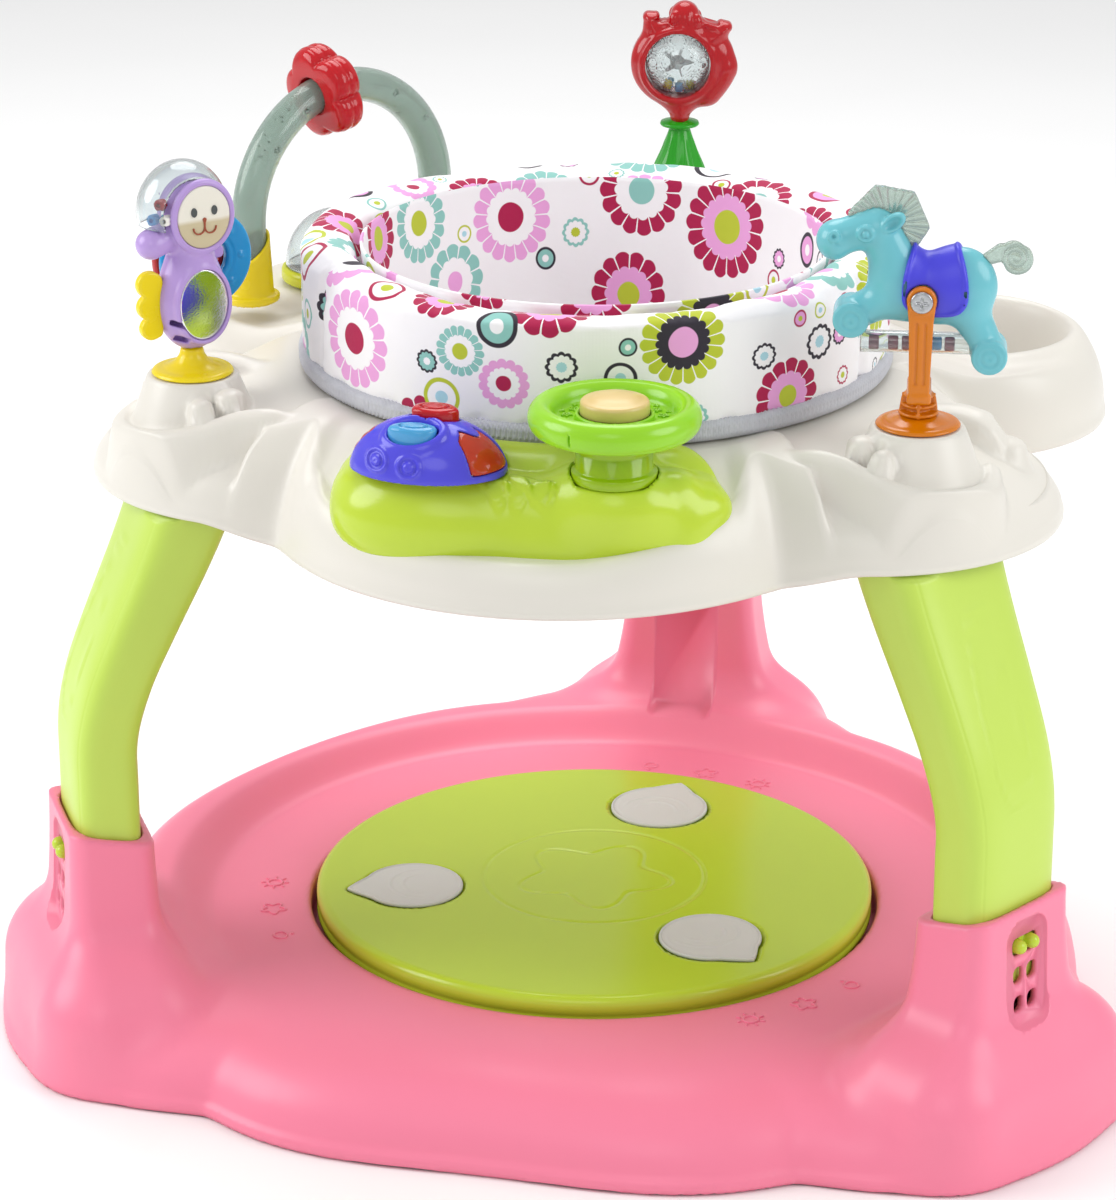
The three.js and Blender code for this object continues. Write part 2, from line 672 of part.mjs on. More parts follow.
function seahorseBody() {
  const torso = ball(26, 18, 35, 0, 0, 55);
  const neck = ball(15, 13, 26, 0, 0, 88);
  const head = ball(26, 20, 27, 2, 0, 117);
  const snout = ball(15, 11, 12, -28, 0, 100);
  const peg = rodY(RING_PEG.radius, 4, 42, RING_PEG.x, RING_PEG.z);
  const cap = rodY(8, 42, 45, RING_PEG.x, RING_PEG.z);
  const arm = block(16, 10, 9, RING_PEG.x - 6, 8, RING_PEG.z);
  const faceCut = rodY(23, -60, -13.5, 3, 117, 20);
  const bellyCut = rodY(1, -60, -12.5, 0, 0, 20).scale(20.5, 1, 28).translate(2, 0, 54);
  const bore = disc(5.5, -5, 40, 20);
  return cut(join(torso, neck, head, snout, peg, cap, arm), faceCut, bellyCut, bore);
}

function headDome() {
  const outer = ball(33, 27, 36, -5, 4, 118);
  const inner = ball(31, 25, 34, -5, 4, 118);
  const clearOfHead = ball(27, 21, 28, 2, 0, 117);
  const below = block(120, 120, 100, 0, 0, 60.5);
  const front = block(120, 40, 120, 0, -33, 120);
  return cut(outer, inner, clearOfHead, below, front, ball(16, 12, 13, -28, 0, 100));
}

const finPoints = [[0, -30], [7, -24], [3, -16], [9, -9], [4, -1], [8, 7], [3, 15], [5, 24], [-3, 30], [-7, 20],
  [-6, 0], [-7, -22]];
const swimFin = plate(outline(finPoints.map(([x, z]) => [-x, z])), 6, 0);

// a flat toy ring that hangs from the peg
function toyRing(y) {
  const drop = 14 - RING_PEG.radius - 0.5;
  return petalRing({ radius: 33, hole: 14, thick: 8, edge: 2.6, samples: 18 })
    .translate(RING_PEG.x, y, RING_PEG.z - drop);
}

add('seahorse_stand', lathe([
  [0, 0], [28, 0], [29, 1.2], [26, 2.6], [14, 5], [8.5, 11], [7.5, 17], [5, 18], [5, 34], [0, 34]]), YELLOW, seahorse);
add('seahorse_body', seahorseBody(), LAVENDER, seahorse);
add('seahorse_face', rodY(22, -16.2, -13.9, 3, 117, 20), WHITE, seahorse);
add('seahorse_mirror', rodY(1, -15, -12.9, 0, 0, 20).scale(19.6, 1, 27).translate(2, 0, 54), STEEL, seahorse);
add('seahorse_fin', moved(swimFin, -33.5, 0, 54), YELLOW, seahorse);
add('seahorse_head_dome', headDome(), CLEAR, seahorse);
add('toy_ring_blue', toyRing(24.5), BLUE, seahorse);
add('toy_ring_red', toyRing(35), RED, seahorse);

// ---------- rocking horse on the right lobe ----------
const horse = new THREE.Group();
horse.position.copy(polar(TOY_RING, LEGS[1].angle, TOY_Z));
horse.rotation.z = 8 * DEG;
jumper.add(horse);

const BOLT_Z = 86;
const HORSE_HALF = 12;
const BODY_POINTS = [
  [-80, 30], [-74, 46], [-58, 60], [-44, 60], [-30, 46], [-12, 36], [20, 33], [46, 30], [60, 10], [62, -10],
  [58, -34], [50, -48], [38, -40], [30, -24], [0, -22], [-22, -20], [-40, -16], [-54, -28], [-66, -20],
  [-60, -2], [-50, 10], [-50, 24], [-64, 20]];
const boltHole = (r) => rodY(r, -60, 60, 0, BOLT_Z);

function horsePost() {
  const arm = (side) => join(
    rodY(8.5, side * 18.2 - 2, side * 18.2 + 2, 0, BOLT_Z),
    block(13, 4, 66, 0, side * 18.2, BOLT_Z - 33));
  const yoke = block(15, 40.4, 6, 0, 0, 21);
  const ribs = lathe([[0, 4], [15, 4], [15, 7], [9, 8], [9, 11], [13, 12], [13, 14], [9, 15], [9, 20], [0, 20]], 14);
  return cut(join(arm(1), arm(-1), yoke, ribs), boltHole(4.8), disc(4.6, 0, 12, 20));
}

function horseBody() {
  const body = plate(outline(BODY_POINTS, 46), 2 * HORSE_HALF, 0).translate(0, 0, BOLT_Z);
  const hoof = (x, z) => rodY(14, -15, 15, x, z, 24);
  const tubeRoom = new THREE.CylinderGeometry(9.4, 9.4, 74, 20).rotateZ(Math.PI / 2).translate(-3, 0, BOLT_Z - 33);
  const all = join(body, hoof(-54, BOLT_Z - 20), hoof(50, BOLT_Z - 46));
  return cut(all, boltHole(4.8), tubeRoom);
}

function saddle() {
  const shape = new THREE.Shape();
  shape.moveTo(-27, -20);
  shape.quadraticCurveTo(0, -28, 30, -20);
  shape.lineTo(25, 42);
  shape.lineTo(-22, 42);
  const blanket = plate(shape, 2 * HORSE_HALF + 5, 0).translate(0, 0, BOLT_Z);
  const room = plate(outline(BODY_POINTS, 46), 2 * HORSE_HALF + 0.7, 0);
  room.translate(0, 0, BOLT_Z + 0.4);
  const inside = block(80, 2 * HORSE_HALF + 0.7, 80, 0, 0, BOLT_Z - 4);
  return cut(blanket, room, inside, boltHole(9.4));
}

const manePoints = [[-46, 64], [-62, 70], [-52, 76], [-58, 88], [-44, 82], [-40, 92], [-32, 80], [-24, 80], [-27, 68],
  [-23, 60], [-32, 52], [-31, 44], [-38, 48]];
const tailPoints = [[52, 34], [66, 26], [80, 20], [92, 24], [96, 34], [88, 42], [84, 32], [72, 36], [60, 40]];
const horseMargin = () => plate(outline(BODY_POINTS, 46), 60, 0).scale(1.012, 1, 1.012).translate(0, 0, BOLT_Z + 0.3);

add('horse_plate', lathe([
  [0, 0], [28, 0], [29.5, 1.5], [27, 3.4], [9, 3.4], [4, 3.4], [4, 11], [0, 11]]), ORANGE, horse);
add('horse_post', horsePost(), ORANGE, horse);
add('horse_body', horseBody(), TURQUOISE, horse);
add('horse_saddle', saddle(), VIOLET, horse);
add('horse_mane', cut(plate(outline(manePoints, 42), 8, 0).translate(0, 0, BOLT_Z), horseMargin()), SMOKE, horse);
add('horse_tail', cut(plate(outline(tailPoints, 27), 7, 0).translate(0, 0, BOLT_Z), horseMargin()), SMOKE, horse);
add('horse_bolt', join(rodY(4.2, -24, 24, 0, BOLT_Z), rodY(7, -24, -20.8, 0, BOLT_Z), rodY(7, 20.8, 24, 0, BOLT_Z)),
  STEEL, horse);
const beadTube = new THREE.CylinderGeometry(8.6, 8.6, 72, 20).rotateZ(Math.PI / 2).translate(-3, 0, BOLT_Z - 33);
add('horse_bead_tube', closeUp(beadTube), CLEAR, horse);

// ---------- flower on the rear lobe ----------
const flower = new THREE.Group();
flower.position.set(0, 272, 460 + GAP);
jumper.add(flower);
const FLOWER_Z = 130;

function flowerHead() {
  const petals = petalRing({ petals: 5, radius: 43, wave: 13, hole: 25.6, thick: 30, edge: 7, samples: 30 });
  petals.translate(0, 0, FLOWER_Z);
  const collar = disc(9, 91, 100, 20);
  return cut(join(petals, collar), rodY(25.6, -40, 40, 0, FLOWER_Z, 20), disc(4.2, 80, 98, 16));
}

function lens(side) {
  const shape = ball(25.2, 18, 25.2, 0, 0, FLOWER_Z);
  const hollow = ball(23.4, 16.2, 23.4, 0, 0, FLOWER_Z);
  return cut(shape, hollow, block(80, 40, 80, 0, side * -20 + side * 0.2, FLOWER_Z));
}

add('flower_stem', lathe([
  [0, 0], [24, 0], [25, 1.5], [22, 3.5], [19, 20], [18, 50], [15, 62], [8, 74], [7, 82], [13, 84], [13, 88],
  [4, 89], [3.8, 96], [0, 96]]), STEM, flower);
add('flower_head', flowerHead(), RED, flower);
add('flower_lens_front', lens(-1), CLEAR, flower);
add('flower_lens_back', lens(1), CLEAR, flower);
add('flower_rattle', join(ball(9, 9, 9, 0, 0, FLOWER_Z), rodY(3, -13, 13, 0, FLOWER_Z)), BLUE, flower);

// ---------- bead arch and clear popper on the back left lobe ----------
const ARCH = { angle: 146, ring: 262, span: 86, straight: 53, tube: 12 };
const SHELF_Z = SHELF.top + 1.8;
const arch = new THREE.Group();
arch.position.copy(polar(ARCH.ring, ARCH.angle, SHELF_Z));
arch.rotation.z = (ARCH.angle - 90) * DEG;
jumper.add(arch);

function archTube() {
  const path = new THREE.CurvePath();
  const s = ARCH.span;
  const h = ARCH.straight;
  path.add(new THREE.LineCurve3(new THREE.Vector3(-s, 0, 6), new THREE.Vector3(-s, 0, h)));
  const bend = s * 0.5523;
  path.add(new THREE.CubicBezierCurve3(new THREE.Vector3(-s, 0, h), new THREE.Vector3(-s, 0, h + bend),
    new THREE.Vector3(-bend, 0, h + s), new THREE.Vector3(0, 0, h + s)));
  path.add(new THREE.CubicBezierCurve3(new THREE.Vector3(0, 0, h + s), new THREE.Vector3(bend, 0, h + s),
    new THREE.Vector3(s, 0, h + bend), new THREE.Vector3(s, 0, h)));
  path.add(new THREE.LineCurve3(new THREE.Vector3(s, 0, h), new THREE.Vector3(s, 0, 6)));
  const section = new THREE.Shape().absarc(0, 0, ARCH.tube, 0, 2 * Math.PI, false);
  const g = new THREE.ExtrudeGeometry(section, {
    steps: 24, extrudePath: path, bevelEnabled: false, curveSegments: 4,
  });
  return closeUp(g);
}

const archCollar = () => lathe([
  [0, 0], [20, 0], [21, 2], [18, 5], [16, 24], [14, 27], [12.6, 27], [12.6, 5.6], [0, 5.6]], 16);

function archBead() {
  const ring = petalRing({ petals: 5, radius: 30, wave: 9, hole: 13.4, thick: 26, edge: 6, samples: 20 });
  ring.rotateZ(90 * DEG);
  return ring.translate(0, 0, ARCH.span).rotateY(-10 * DEG).translate(0, 0, ARCH.straight);
}

add('arch_tube', archTube(), SMOKE, arch);
add('arch_collar_front', archCollar(), YELLOW, arch).position.x = -ARCH.span;
add('arch_collar_back', archCollar(), YELLOW, arch).position.x = ARCH.span;
add('arch_bead', archBead(), RED, arch);

const popper = new THREE.Group();
popper.position.copy(polar(262, 148, SHELF_Z));
jumper.add(popper);
add('popper_base', lathe([[0, 0], [36, 0], [38, 2], [38, 8], [35.4, 11], [33, 11], [33, 8], [5, 8], [4, 14], [0, 14]]),
  YELLOW, popper);
const domeProfile = (r, h) => Array.from({ length: 7 }, (_, i) => {
  const t = (i / 6) * Math.PI * 0.5;
  return [r * Math.cos(t), 11.5 + h * Math.sin(t)];
});
add('popper_dome', lathe([...domeProfile(35, 40), ...domeProfile(33, 38).reverse(), [35, 11.5]], 20), CLEAR, popper);
add('popper_spinner', join(lathe([[5.8, 10], [24, 12], [24, 14], [9, 18], [5.8, 18], [5.8, 10]], 24),
  block(4, 40, 22, 0, 0, 28)), ORANGE, popper);

// the origin is at the middle of the whole object's box, on the floor
const extent = new THREE.Box3().setFromObject(jumper, true);
jumper.position.y = -(extent.min.y + extent.max.y) / 2;
jumper.position.x = -(extent.min.x + extent.max.x) / 2;

export default jumper;
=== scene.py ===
# Looks of the baby activity jumper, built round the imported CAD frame. Lengths in the helpers are
# millimetres with x = y = 0 at the middle of the foot pad; place() turns them into row-frame metres.
import math

import bpy
import numpy as np
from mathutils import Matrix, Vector


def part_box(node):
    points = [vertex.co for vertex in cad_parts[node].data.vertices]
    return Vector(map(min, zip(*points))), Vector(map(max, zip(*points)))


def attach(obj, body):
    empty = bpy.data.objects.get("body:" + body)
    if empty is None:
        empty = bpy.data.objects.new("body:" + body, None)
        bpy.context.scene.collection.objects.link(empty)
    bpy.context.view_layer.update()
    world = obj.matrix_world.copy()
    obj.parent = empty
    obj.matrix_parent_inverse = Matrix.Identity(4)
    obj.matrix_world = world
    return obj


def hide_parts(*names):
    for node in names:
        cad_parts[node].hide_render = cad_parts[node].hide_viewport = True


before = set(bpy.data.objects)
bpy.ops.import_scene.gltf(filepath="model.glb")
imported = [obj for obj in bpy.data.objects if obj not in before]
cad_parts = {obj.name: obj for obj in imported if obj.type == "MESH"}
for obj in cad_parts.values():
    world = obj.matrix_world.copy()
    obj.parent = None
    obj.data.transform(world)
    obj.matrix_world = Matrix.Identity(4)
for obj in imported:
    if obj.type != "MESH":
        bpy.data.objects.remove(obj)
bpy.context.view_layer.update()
DEG = math.pi / 180
PAD_LOW, PAD_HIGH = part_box("bounce_pad")
CENTRE = np.array([(PAD_LOW.x + PAD_HIGH.x) / 2, (PAD_LOW.y + PAD_HIGH.y) / 2, 0.0])


# ---------- shape helpers ----------
def place(points):
    """Millimetres round the pad's middle to metres in the row frame."""
    return np.asarray(points, float) / 1000 + CENTRE


def ring_row(r, degrees, z):
    """Points at radius r and height z round the centre."""
    return np.stack([r * np.cos(degrees * DEG), r * np.sin(degrees * DEG), 0 * degrees + z], 1)


def smooth(t):
    """0 below 0, 1 above 1 and a soft step in between."""
    t = np.clip(t, 0, 1)
    return t * t * (3 - 2 * t)


def smin(a, b, k):
    """Two shapes joined, with a soft blend of size k."""
    h = np.maximum(k - np.abs(a - b), 0) / k
    return np.minimum(a, b) - h * h * k / 4


def smax(a, b, k):
    """Where two shapes overlap, with a soft edge of size k."""
    return -smin(-a, -b, k)


def turn(degrees, origin):
    """The signed angle from origin to a direction, in degrees."""
    return (degrees - origin + 540) % 360 - 180


def polar(r, degrees, z=0.0):
    """A point at a radius, a direction and a height."""
    return np.array([r * math.cos(degrees * DEG), r * math.sin(degrees * DEG), z])


def ellipsoid(x, y, z, centre, radii):
    """Rough distance from an ellipsoid."""
    p = [(a - c) / r for a, c, r in zip((x, y, z), centre, radii)]
    k0 = np.sqrt(p[0] ** 2 + p[1] ** 2 + p[2] ** 2) + 1e-9
    k1 = np.sqrt(sum((a / r) ** 2 for a, r in zip(p, radii))) + 1e-9
    return k0 * (k0 - 1) / k1


def capsule(x, y, z, a, b, ra, rb):
    """A rod from a to b whose radius goes from ra to rb, with round ends."""
    d = [q - p for p, q in zip(a, b)]
    length = sum(v * v for v in d)
    t = np.clip(((x - a[0]) * d[0] + (y - a[1]) * d[1] + (z - a[2]) * d[2]) / length, 0, 1)
    gap = np.sqrt((x - a[0] - t * d[0]) ** 2 + (y - a[1] - t * d[1]) ** 2 + (z - a[2] - t * d[2]) ** 2)
    return gap - (ra + (rb - ra) * t)


def round_box(x, y, z, centre, half, radius):
    """Distance from a box with rounded edges."""
    q = [np.abs(a - c) - (h - radius) for a, c, h in zip((x, y, z), centre, half)]
    out = np.sqrt(sum(np.maximum(a, 0) ** 2 for a in q))
    return out + np.minimum(np.maximum(q[0], np.maximum(q[1], q[2])), 0) - radius


def round_disc(along, radial, radius, half, edge):
    """A disc or ring section: `along` is the distance from its middle plane, `radial` from its axis."""
    a, b = np.abs(along) - (half - edge), radial - (radius - edge)
    return np.hypot(np.maximum(a, 0), np.maximum(b, 0)) + np.minimum(np.maximum(a, b), 0) - edge


def new_object(name, vertices, faces, shade=True):
    """A mesh object from points in row-frame metres."""
    mesh = bpy.data.meshes.new(name)
    mesh.from_pydata(np.asarray(vertices, float).tolist(), [], [list(map(int, f)) for f in faces])
    mesh.validate()
    mesh.update()
    if shade:
        mesh.shade_smooth()
    piece = bpy.data.objects.new(name, mesh)
    bpy.context.scene.collection.objects.link(piece)
    return piece


def surface_nets(field, low, high, step):
    """Points and quads of the zero surface of field(x, y, z), which is negative inside."""
    low, high = np.asarray(low, float), np.asarray(high, float)
    count = np.ceil((high - low) / step).astype(int) + 1
    axes = [low[i] + step * np.arange(count[i]) for i in range(3)]
    value = np.empty(count, np.float32)
    for i in range(0, count[0], 12):
        value[i:i + 12] = field(*np.meshgrid(axes[0][i:i + 12], axes[1], axes[2], indexing="ij"))
    inside = value < 0
    corner = [(i, j, k) for i in (0, 1) for j in (0, 1) for k in (0, 1)]

    def shifted(array, offset):
        return array[tuple(slice(o, o + n - 1) for o, n in zip(offset, count))]

    total = sum(shifted(inside, c).astype(np.int8) for c in corner)
    cells = np.argwhere((total > 0) & (total < 8))
    number = -np.ones(count - 1, int)
    number[tuple(cells.T)] = np.arange(len(cells))
    point, hits = np.zeros((len(cells), 3)), np.zeros(len(cells))
    for a in range(3):
        for c in corner:
            if c[a]:
                continue
            end = tuple(o + (1 if i == a else 0) for i, o in enumerate(c))
            f0 = value[tuple((cells + c).T)]
            f1 = value[tuple((cells + end).T)]
            cross = (f0 < 0) != (f1 < 0)
            t = np.where(cross, f0 / np.where(cross, f0 - f1, 1), 0)
            spot = cells + np.array(c, float)
            spot[:, a] += t
            point[cross] += spot[cross]
            hits[cross] += 1
    point = low + step * point / hits[:, None]
    quads = []
    for a in range(3):
        b, c = (a + 1) % 3, (a + 2) % 3
        first = [slice(1, n - 1) for n in count]
        second = list(first)
        first[a], second[a] = slice(0, count[a] - 1), slice(1, count[a])
        flip = inside[tuple(first)]
        edge = np.argwhere(flip != inside[tuple(second)])
        side = flip[tuple(edge.T)]
        edge[:, [b, c]] += 1
        ring = []
        for db, dc in ((-1, -1), (0, -1), (0, 0), (-1, 0)):
            cell = edge.copy()
            cell[:, b] += db
            cell[:, c] += dc
            ring.append(number[tuple(cell.T)])
        ring = np.stack(ring, 1)
        quads.append(np.where(side[:, None], ring, ring[:, ::-1]))
    return point, np.concatenate(quads)


def settle(field, point, step, times=2):
    """Moves points onto the zero surface along the field's slope."""
    e = step * 0.15
    for _ in range(times):
        x, y, z = point.T
        value = field(x, y, z)
        slope = np.stack([
            field(x + e, y, z) - field(x - e, y, z),
            field(x, y + e, z) - field(x, y - e, z),
            field(x, y, z + e) - field(x, y, z - e)], 1) / (2 * e)
        size = np.sum(slope ** 2, 1) + 1e-6
        move = -(value / size)[:, None] * slope
        length = np.linalg.norm(move, axis=1, keepdims=True)
        point = point + move * np.minimum(1, 0.7 * step / (length + 1e-9))
    return point


def moulded(name, field, low, high, step, to_row=place):
    """A smooth moulded piece: the zero surface of a field, in local millimetres."""
    point, quads = surface_nets(field, low, high, step)
    return new_object(name, to_row(settle(field, point, step)), quads)


def grid_faces(rows, columns, close_rows=False, close_columns=True):
    """The quads that join a grid of points."""
    i = np.arange(rows if close_rows else rows - 1)
    j = np.arange(columns if close_columns else columns - 1)
    i, j = [a.ravel() for a in np.meshgrid(i, j, indexing="ij")]
    i2, j2 = (i + 1) % rows, (j + 1) % columns
    return np.stack([i * columns + j, i * columns + j2, i2 * columns + j2, i2 * columns + j], 1)


def apply_modifiers(piece):
    """Turns a piece's modifiers into its mesh."""
    bpy.context.view_layer.update()
    shown = piece.evaluated_get(bpy.context.evaluated_depsgraph_get())
    mesh = bpy.data.meshes.new_from_object(shown)
    piece.modifiers.clear()
    old, piece.data = piece.data, mesh
    bpy.data.meshes.remove(old)
    return piece


def carve(piece, cutters):
    """Cuts closed cutters out of a closed piece."""
    for cutter in cutters:
        mod = piece.modifiers.new("cut", "BOOLEAN")
        mod.operation = "DIFFERENCE"
        mod.solver = "MANIFOLD"
        mod.object = cutter
    apply_modifiers(piece)
    for cutter in cutters:
        bpy.data.objects.remove(cutter)
    return piece


def super_outline(a, b, count, power=3.4):
    """An outline between an ellipse and a rectangle."""
    t = np.arange(count) / count * 2 * math.pi
    return np.stack([a * np.sign(np.cos(t)) * np.abs(np.cos(t)) ** (2 / power),
                     b * np.sign(np.sin(t)) * np.abs(np.sin(t)) ** (2 / power)], 1)


def loft(name, rings, closed=False, to_row=place, caps=True):
    """A surface through rings of points, with flat ends if the rows don't join up."""
    rings = np.asarray(rings, float)
    rows, columns = rings.shape[:2]
    faces = grid_faces(rows, columns, close_rows=closed).tolist()
    if caps and not closed:
        faces += [list(range(columns))[::-1], list(range((rows - 1) * columns, rows * columns))]
    points = rings.reshape(-1, 3)
    piece = new_object(name, to_row(points), faces)
    return piece


def outward(piece):
    """Makes the faces of a closed piece point out."""
    import bmesh
    bm = bmesh.new()
    bm.from_mesh(piece.data)
    bmesh.ops.recalc_face_normals(bm, faces=bm.faces)
    bm.to_mesh(piece.data)
    bm.free()
    return piece


def at_angle(points, degrees):
    """Local (radial, tangential, z) points turned to a direction round the centre."""
    p = np.asarray(points, float)
    c, s = math.cos(degrees * DEG), math.sin(degrees * DEG)
    return np.stack([p[..., 0] * c - p[..., 1] * s, p[..., 0] * s + p[..., 1] * c, p[..., 2]], -1)


# ---------- camera, floor and light ----------
scene = bpy.context.scene
camera_data = bpy.data.cameras.new("camera")
camera = bpy.data.objects.new("camera", camera_data)
scene.collection.objects.link(camera)
camera_data.lens = 123.0
camera_data.sensor_width = 36.0
camera_data.clip_end = 50
camera.location = place([580.2, -2564.7, 1275.9])
camera.rotation_euler = (69.2 * DEG, 0, 13.3 * DEG)
scene.camera = camera
scene.view_settings.view_transform = "Standard"


def area_light(name, location, target, size, power, color=(1, 1, 1)):
    """A round soft lamp aimed at a point."""
    data = bpy.data.lights.new(name, "AREA")
    data.shape = "DISK"
    data.size = size
    data.energy = power
    data.color = color
    lamp = bpy.data.objects.new(name, data)
    lamp.location = location
    lamp.rotation_euler = (Vector(target) - Vector(location)).to_track_quat("-Z", "Y").to_euler()
    scene.collection.objects.link(lamp)


area_light("left", (-2.7, -0.9, 1.9), (0, 0, 0.3), 2.2, 52)
area_light("right", (2.7, -0.5, 1.7), (0, 0, 0.3), 2.0, 34)
area_light("top", (-0.3, 1.3, 2.9), (0, 0, 0.3), 2.2, 44)
area_light("front", (0.3, -3.2, 2.2), (0, 0, 0.3), 1.6, 9)
world = bpy.data.worlds.new("studio")
world.use_nodes = True
world.node_tree.nodes["Background"].inputs["Color"].default_value = (1, 1, 1, 1)
world.node_tree.nodes["Background"].inputs["Strength"].default_value = 0.6
scene.world = world


# ---------- materials ----------
def linear(code):
    """A colour written as six hex digits, in linear light."""
    part = [int(code[i:i + 2], 16) / 255 for i in (0, 2, 4)]
    return [v / 12.92 if v <= 0.04045 else ((v + 0.055) / 1.055) ** 2.4 for v in part]


class Shader:
    """A node material round one Principled shader."""

    def __init__(self, name):
        self.material = bpy.data.materials.new(name)
        self.material.use_nodes = True
        self.nodes = self.material.node_tree.nodes
        self.links = self.material.node_tree.links
        self.bsdf = self.nodes["Principled BSDF"]

    def set(self, **values):
        for key, value in values.items():
            self.bsdf.inputs[key.replace("_", " ")].default_value = value
        return self

    def wire(self, value, socket):
        if isinstance(value, bpy.types.NodeSocket):
            self.links.new(value, socket)
        else:
            socket.default_value = value

    def node(self, kind, inputs=(), out=0, **settings):
        node = self.nodes.new("ShaderNode" + kind)
        for key, value in settings.items():
            setattr(node, key, value)
        for key, value in dict(inputs).items():
            self.wire(value, node.inputs[key])
        return node.outputs[out]

    def math(self, operation, a, b=0.0, c=0.0):
        return self.node("Math", {0: a, 1: b, 2: c}, operation=operation)

    def step(self, value, edge, width):
        """0 below the edge and 1 above it, over a soft width."""
        low, high = self.math("SUBTRACT", edge, width / 2), self.math("ADD", edge, width / 2)
        return self.node("MapRange", {"Value": value, "From Min": low, "From Max": high})

    def mix(self, factor, a, b):
        return self.node("Mix", {0: factor, 6: a, 7: b}, out=2, data_type="RGBA")

    def noise(self, vector, scale, detail=2.0, rough=0.5):
        return self.node("TexNoise", {"Vector": vector, "Scale": scale, "Detail": detail,
                                      "Roughness": rough})

    def coords(self, kind="Object"):
        return self.node("TexCoord", out={"Object": 3, "UV": 2}[kind])

    def bump(self, height, strength, distance):
        normal = self.node("Bump", {"Height": height, "Strength": strength, "Distance": distance})
        self.links.new(normal, self.bsdf.inputs["Normal"])


def tone(color, k):
    """A colour made lighter or darker."""
    return [min(1, c * k) for c in color] + [1]


def plastic(name, code, rough=0.32, grain=0.2, mottle=0.012, **extra):
    """Moulded plastic: slow colour drift, uneven gloss and a fine moulded grain."""
    s = Shader(name)
    color = linear(code)
    where = s.coords()
    drift = s.noise(where, 7, 3)
    s.wire(s.mix(drift, tone(color, 1 - mottle), tone(color, 1 + mottle)), s.bsdf.inputs["Base Color"])
    gloss = s.noise(where, 38, 4)
    s.wire(s.node("MapRange", {"Value": gloss, "From Min": 0.3, "From Max": 0.7, "To Min": rough * 0.95,
                               "To Max": rough * 1.06}), s.bsdf.inputs["Roughness"])
    fine = s.noise(where, 900, 2)
    slow = s.noise(where, 26, 2)
    s.bump(s.math("ADD", s.math("MULTIPLY", fine, 0.1), s.math("MULTIPLY", slow, 0.35)), grain, 0.0005)
    return s.set(Specular_IOR_Level=0.5, **extra).material


def tinted(name, code, rough=0.06, through=0.8, **extra):
    """See-through moulded plastic with flow lines and small waves."""
    s = Shader(name)
    color = linear(code)
    where = s.coords()
    flow = s.noise(where, 22, 2)
    s.wire(s.mix(flow, tone(color, 0.96), tone(color, 1.04)), s.bsdf.inputs["Base Color"])
    s.wire(s.node("MapRange", {"Value": flow, "To Min": rough, "To Max": rough * 1.8}),
           s.bsdf.inputs["Roughness"])
    s.bump(s.noise(where, 60, 2), 0.12, 0.0006)
    return s.set(Transmission_Weight=through, IOR=1.46, **extra).material


def two_tone(name, upper, lower, height, rough=0.3):
    """A glossy printed disc, darker below a soft line at the given height (metres)."""
    s = Shader(name)
    where = s.coords()
    split = s.nodes.new("ShaderNodeSeparateXYZ")
    s.links.new(where, split.inputs[0])
    level = s.math("ADD", split.outputs[2], s.math("MULTIPLY", s.noise(where, 60, 2), 0.002))
    s.wire(s.mix(s.step(level, height, 0.003), linear(lower) + [1], linear(upper) + [1]),
           s.bsdf.inputs["Base Color"])
    s.wire(s.node("MapRange", {"Value": s.noise(where, 40, 2), "To Min": rough * 0.8,
                               "To Max": rough * 1.2}), s.bsdf.inputs["Roughness"])
    return s.set(Specular_IOR_Level=0.5).material


def metal(name, code, rough=0.25):
    """Brushed metal."""
    s = Shader(name)
    color = linear(code)
    where = s.coords()
    brushed = s.noise(s.node("Mapping", {"Vector": where, "Scale": (30, 900, 900)}), 1, 3)
    s.wire(s.mix(brushed, tone(color, 0.9), tone(color, 1.08)), s.bsdf.inputs["Base Color"])
    s.wire(s.node("MapRange", {"Value": brushed, "To Min": rough * 0.8, "To Max": rough * 1.4}),
           s.bsdf.inputs["Roughness"])
    s.bump(brushed, 0.15, 0.0002)
    return s.set(Metallic=1.0).material


PINK = plastic("pink_plastic", "F4829F", 0.36)
LIME = plastic("lime_plastic", "BBD336", 0.2)
LEG_LIME = plastic("leg_lime", "BFDA58", 0.36)
CREAM = plastic("cream_plastic", "DEDAD1", 0.34)
GREY = plastic("grey_plastic", "D2D2CF", 0.5)
WHITE = plastic("white_plastic", "ECEAE2", 0.45)
RUBBER = plastic("foot_rubber", "2A2A2C", 0.75, grain=0.6)
GREEN = plastic("green_plastic", "92CF22", 0.2)
PEACH = plastic("peach_plastic", "D8BC7C", 0.3)
VIOLET = plastic("violet_plastic", "4E49D6", 0.16)
SADDLE = plastic("saddle_plastic", "4440D6", 0.34)
LAVENDER = plastic("lavender_plastic", "B598D6", 0.24)
YELLOW = plastic("yellow_plastic", "ECD308", 0.26)
RED = plastic("red_plastic", "B00A16", 0.12)
BLUE = plastic("blue_plastic", "1791CC", 0.2)
ORANGE = plastic("orange_plastic", "D27600", 0.2)
TURQUOISE = plastic("turquoise_plastic", "6DBCC7", 0.22)
STEM = plastic("stem_plastic", "1F9D14", 0.2)
CHARTREUSE = plastic("chartreuse_plastic", "C6CB14", 0.26)
STEEL = metal("spring_steel", "B8BABD")
CLEAR = tinted("clear_plastic", "F4FAFA", 0.03, 0.95)
SMOKE = tinted("smoke_plastic", "C4D6CC", 0.12, 0.72)
RED_CLEAR = tinted("red_clear", "CC1420", 0.05, 0.22)
ORANGE_CLEAR = tinted("orange_clear", "F0502A", 0.06, 0.5)
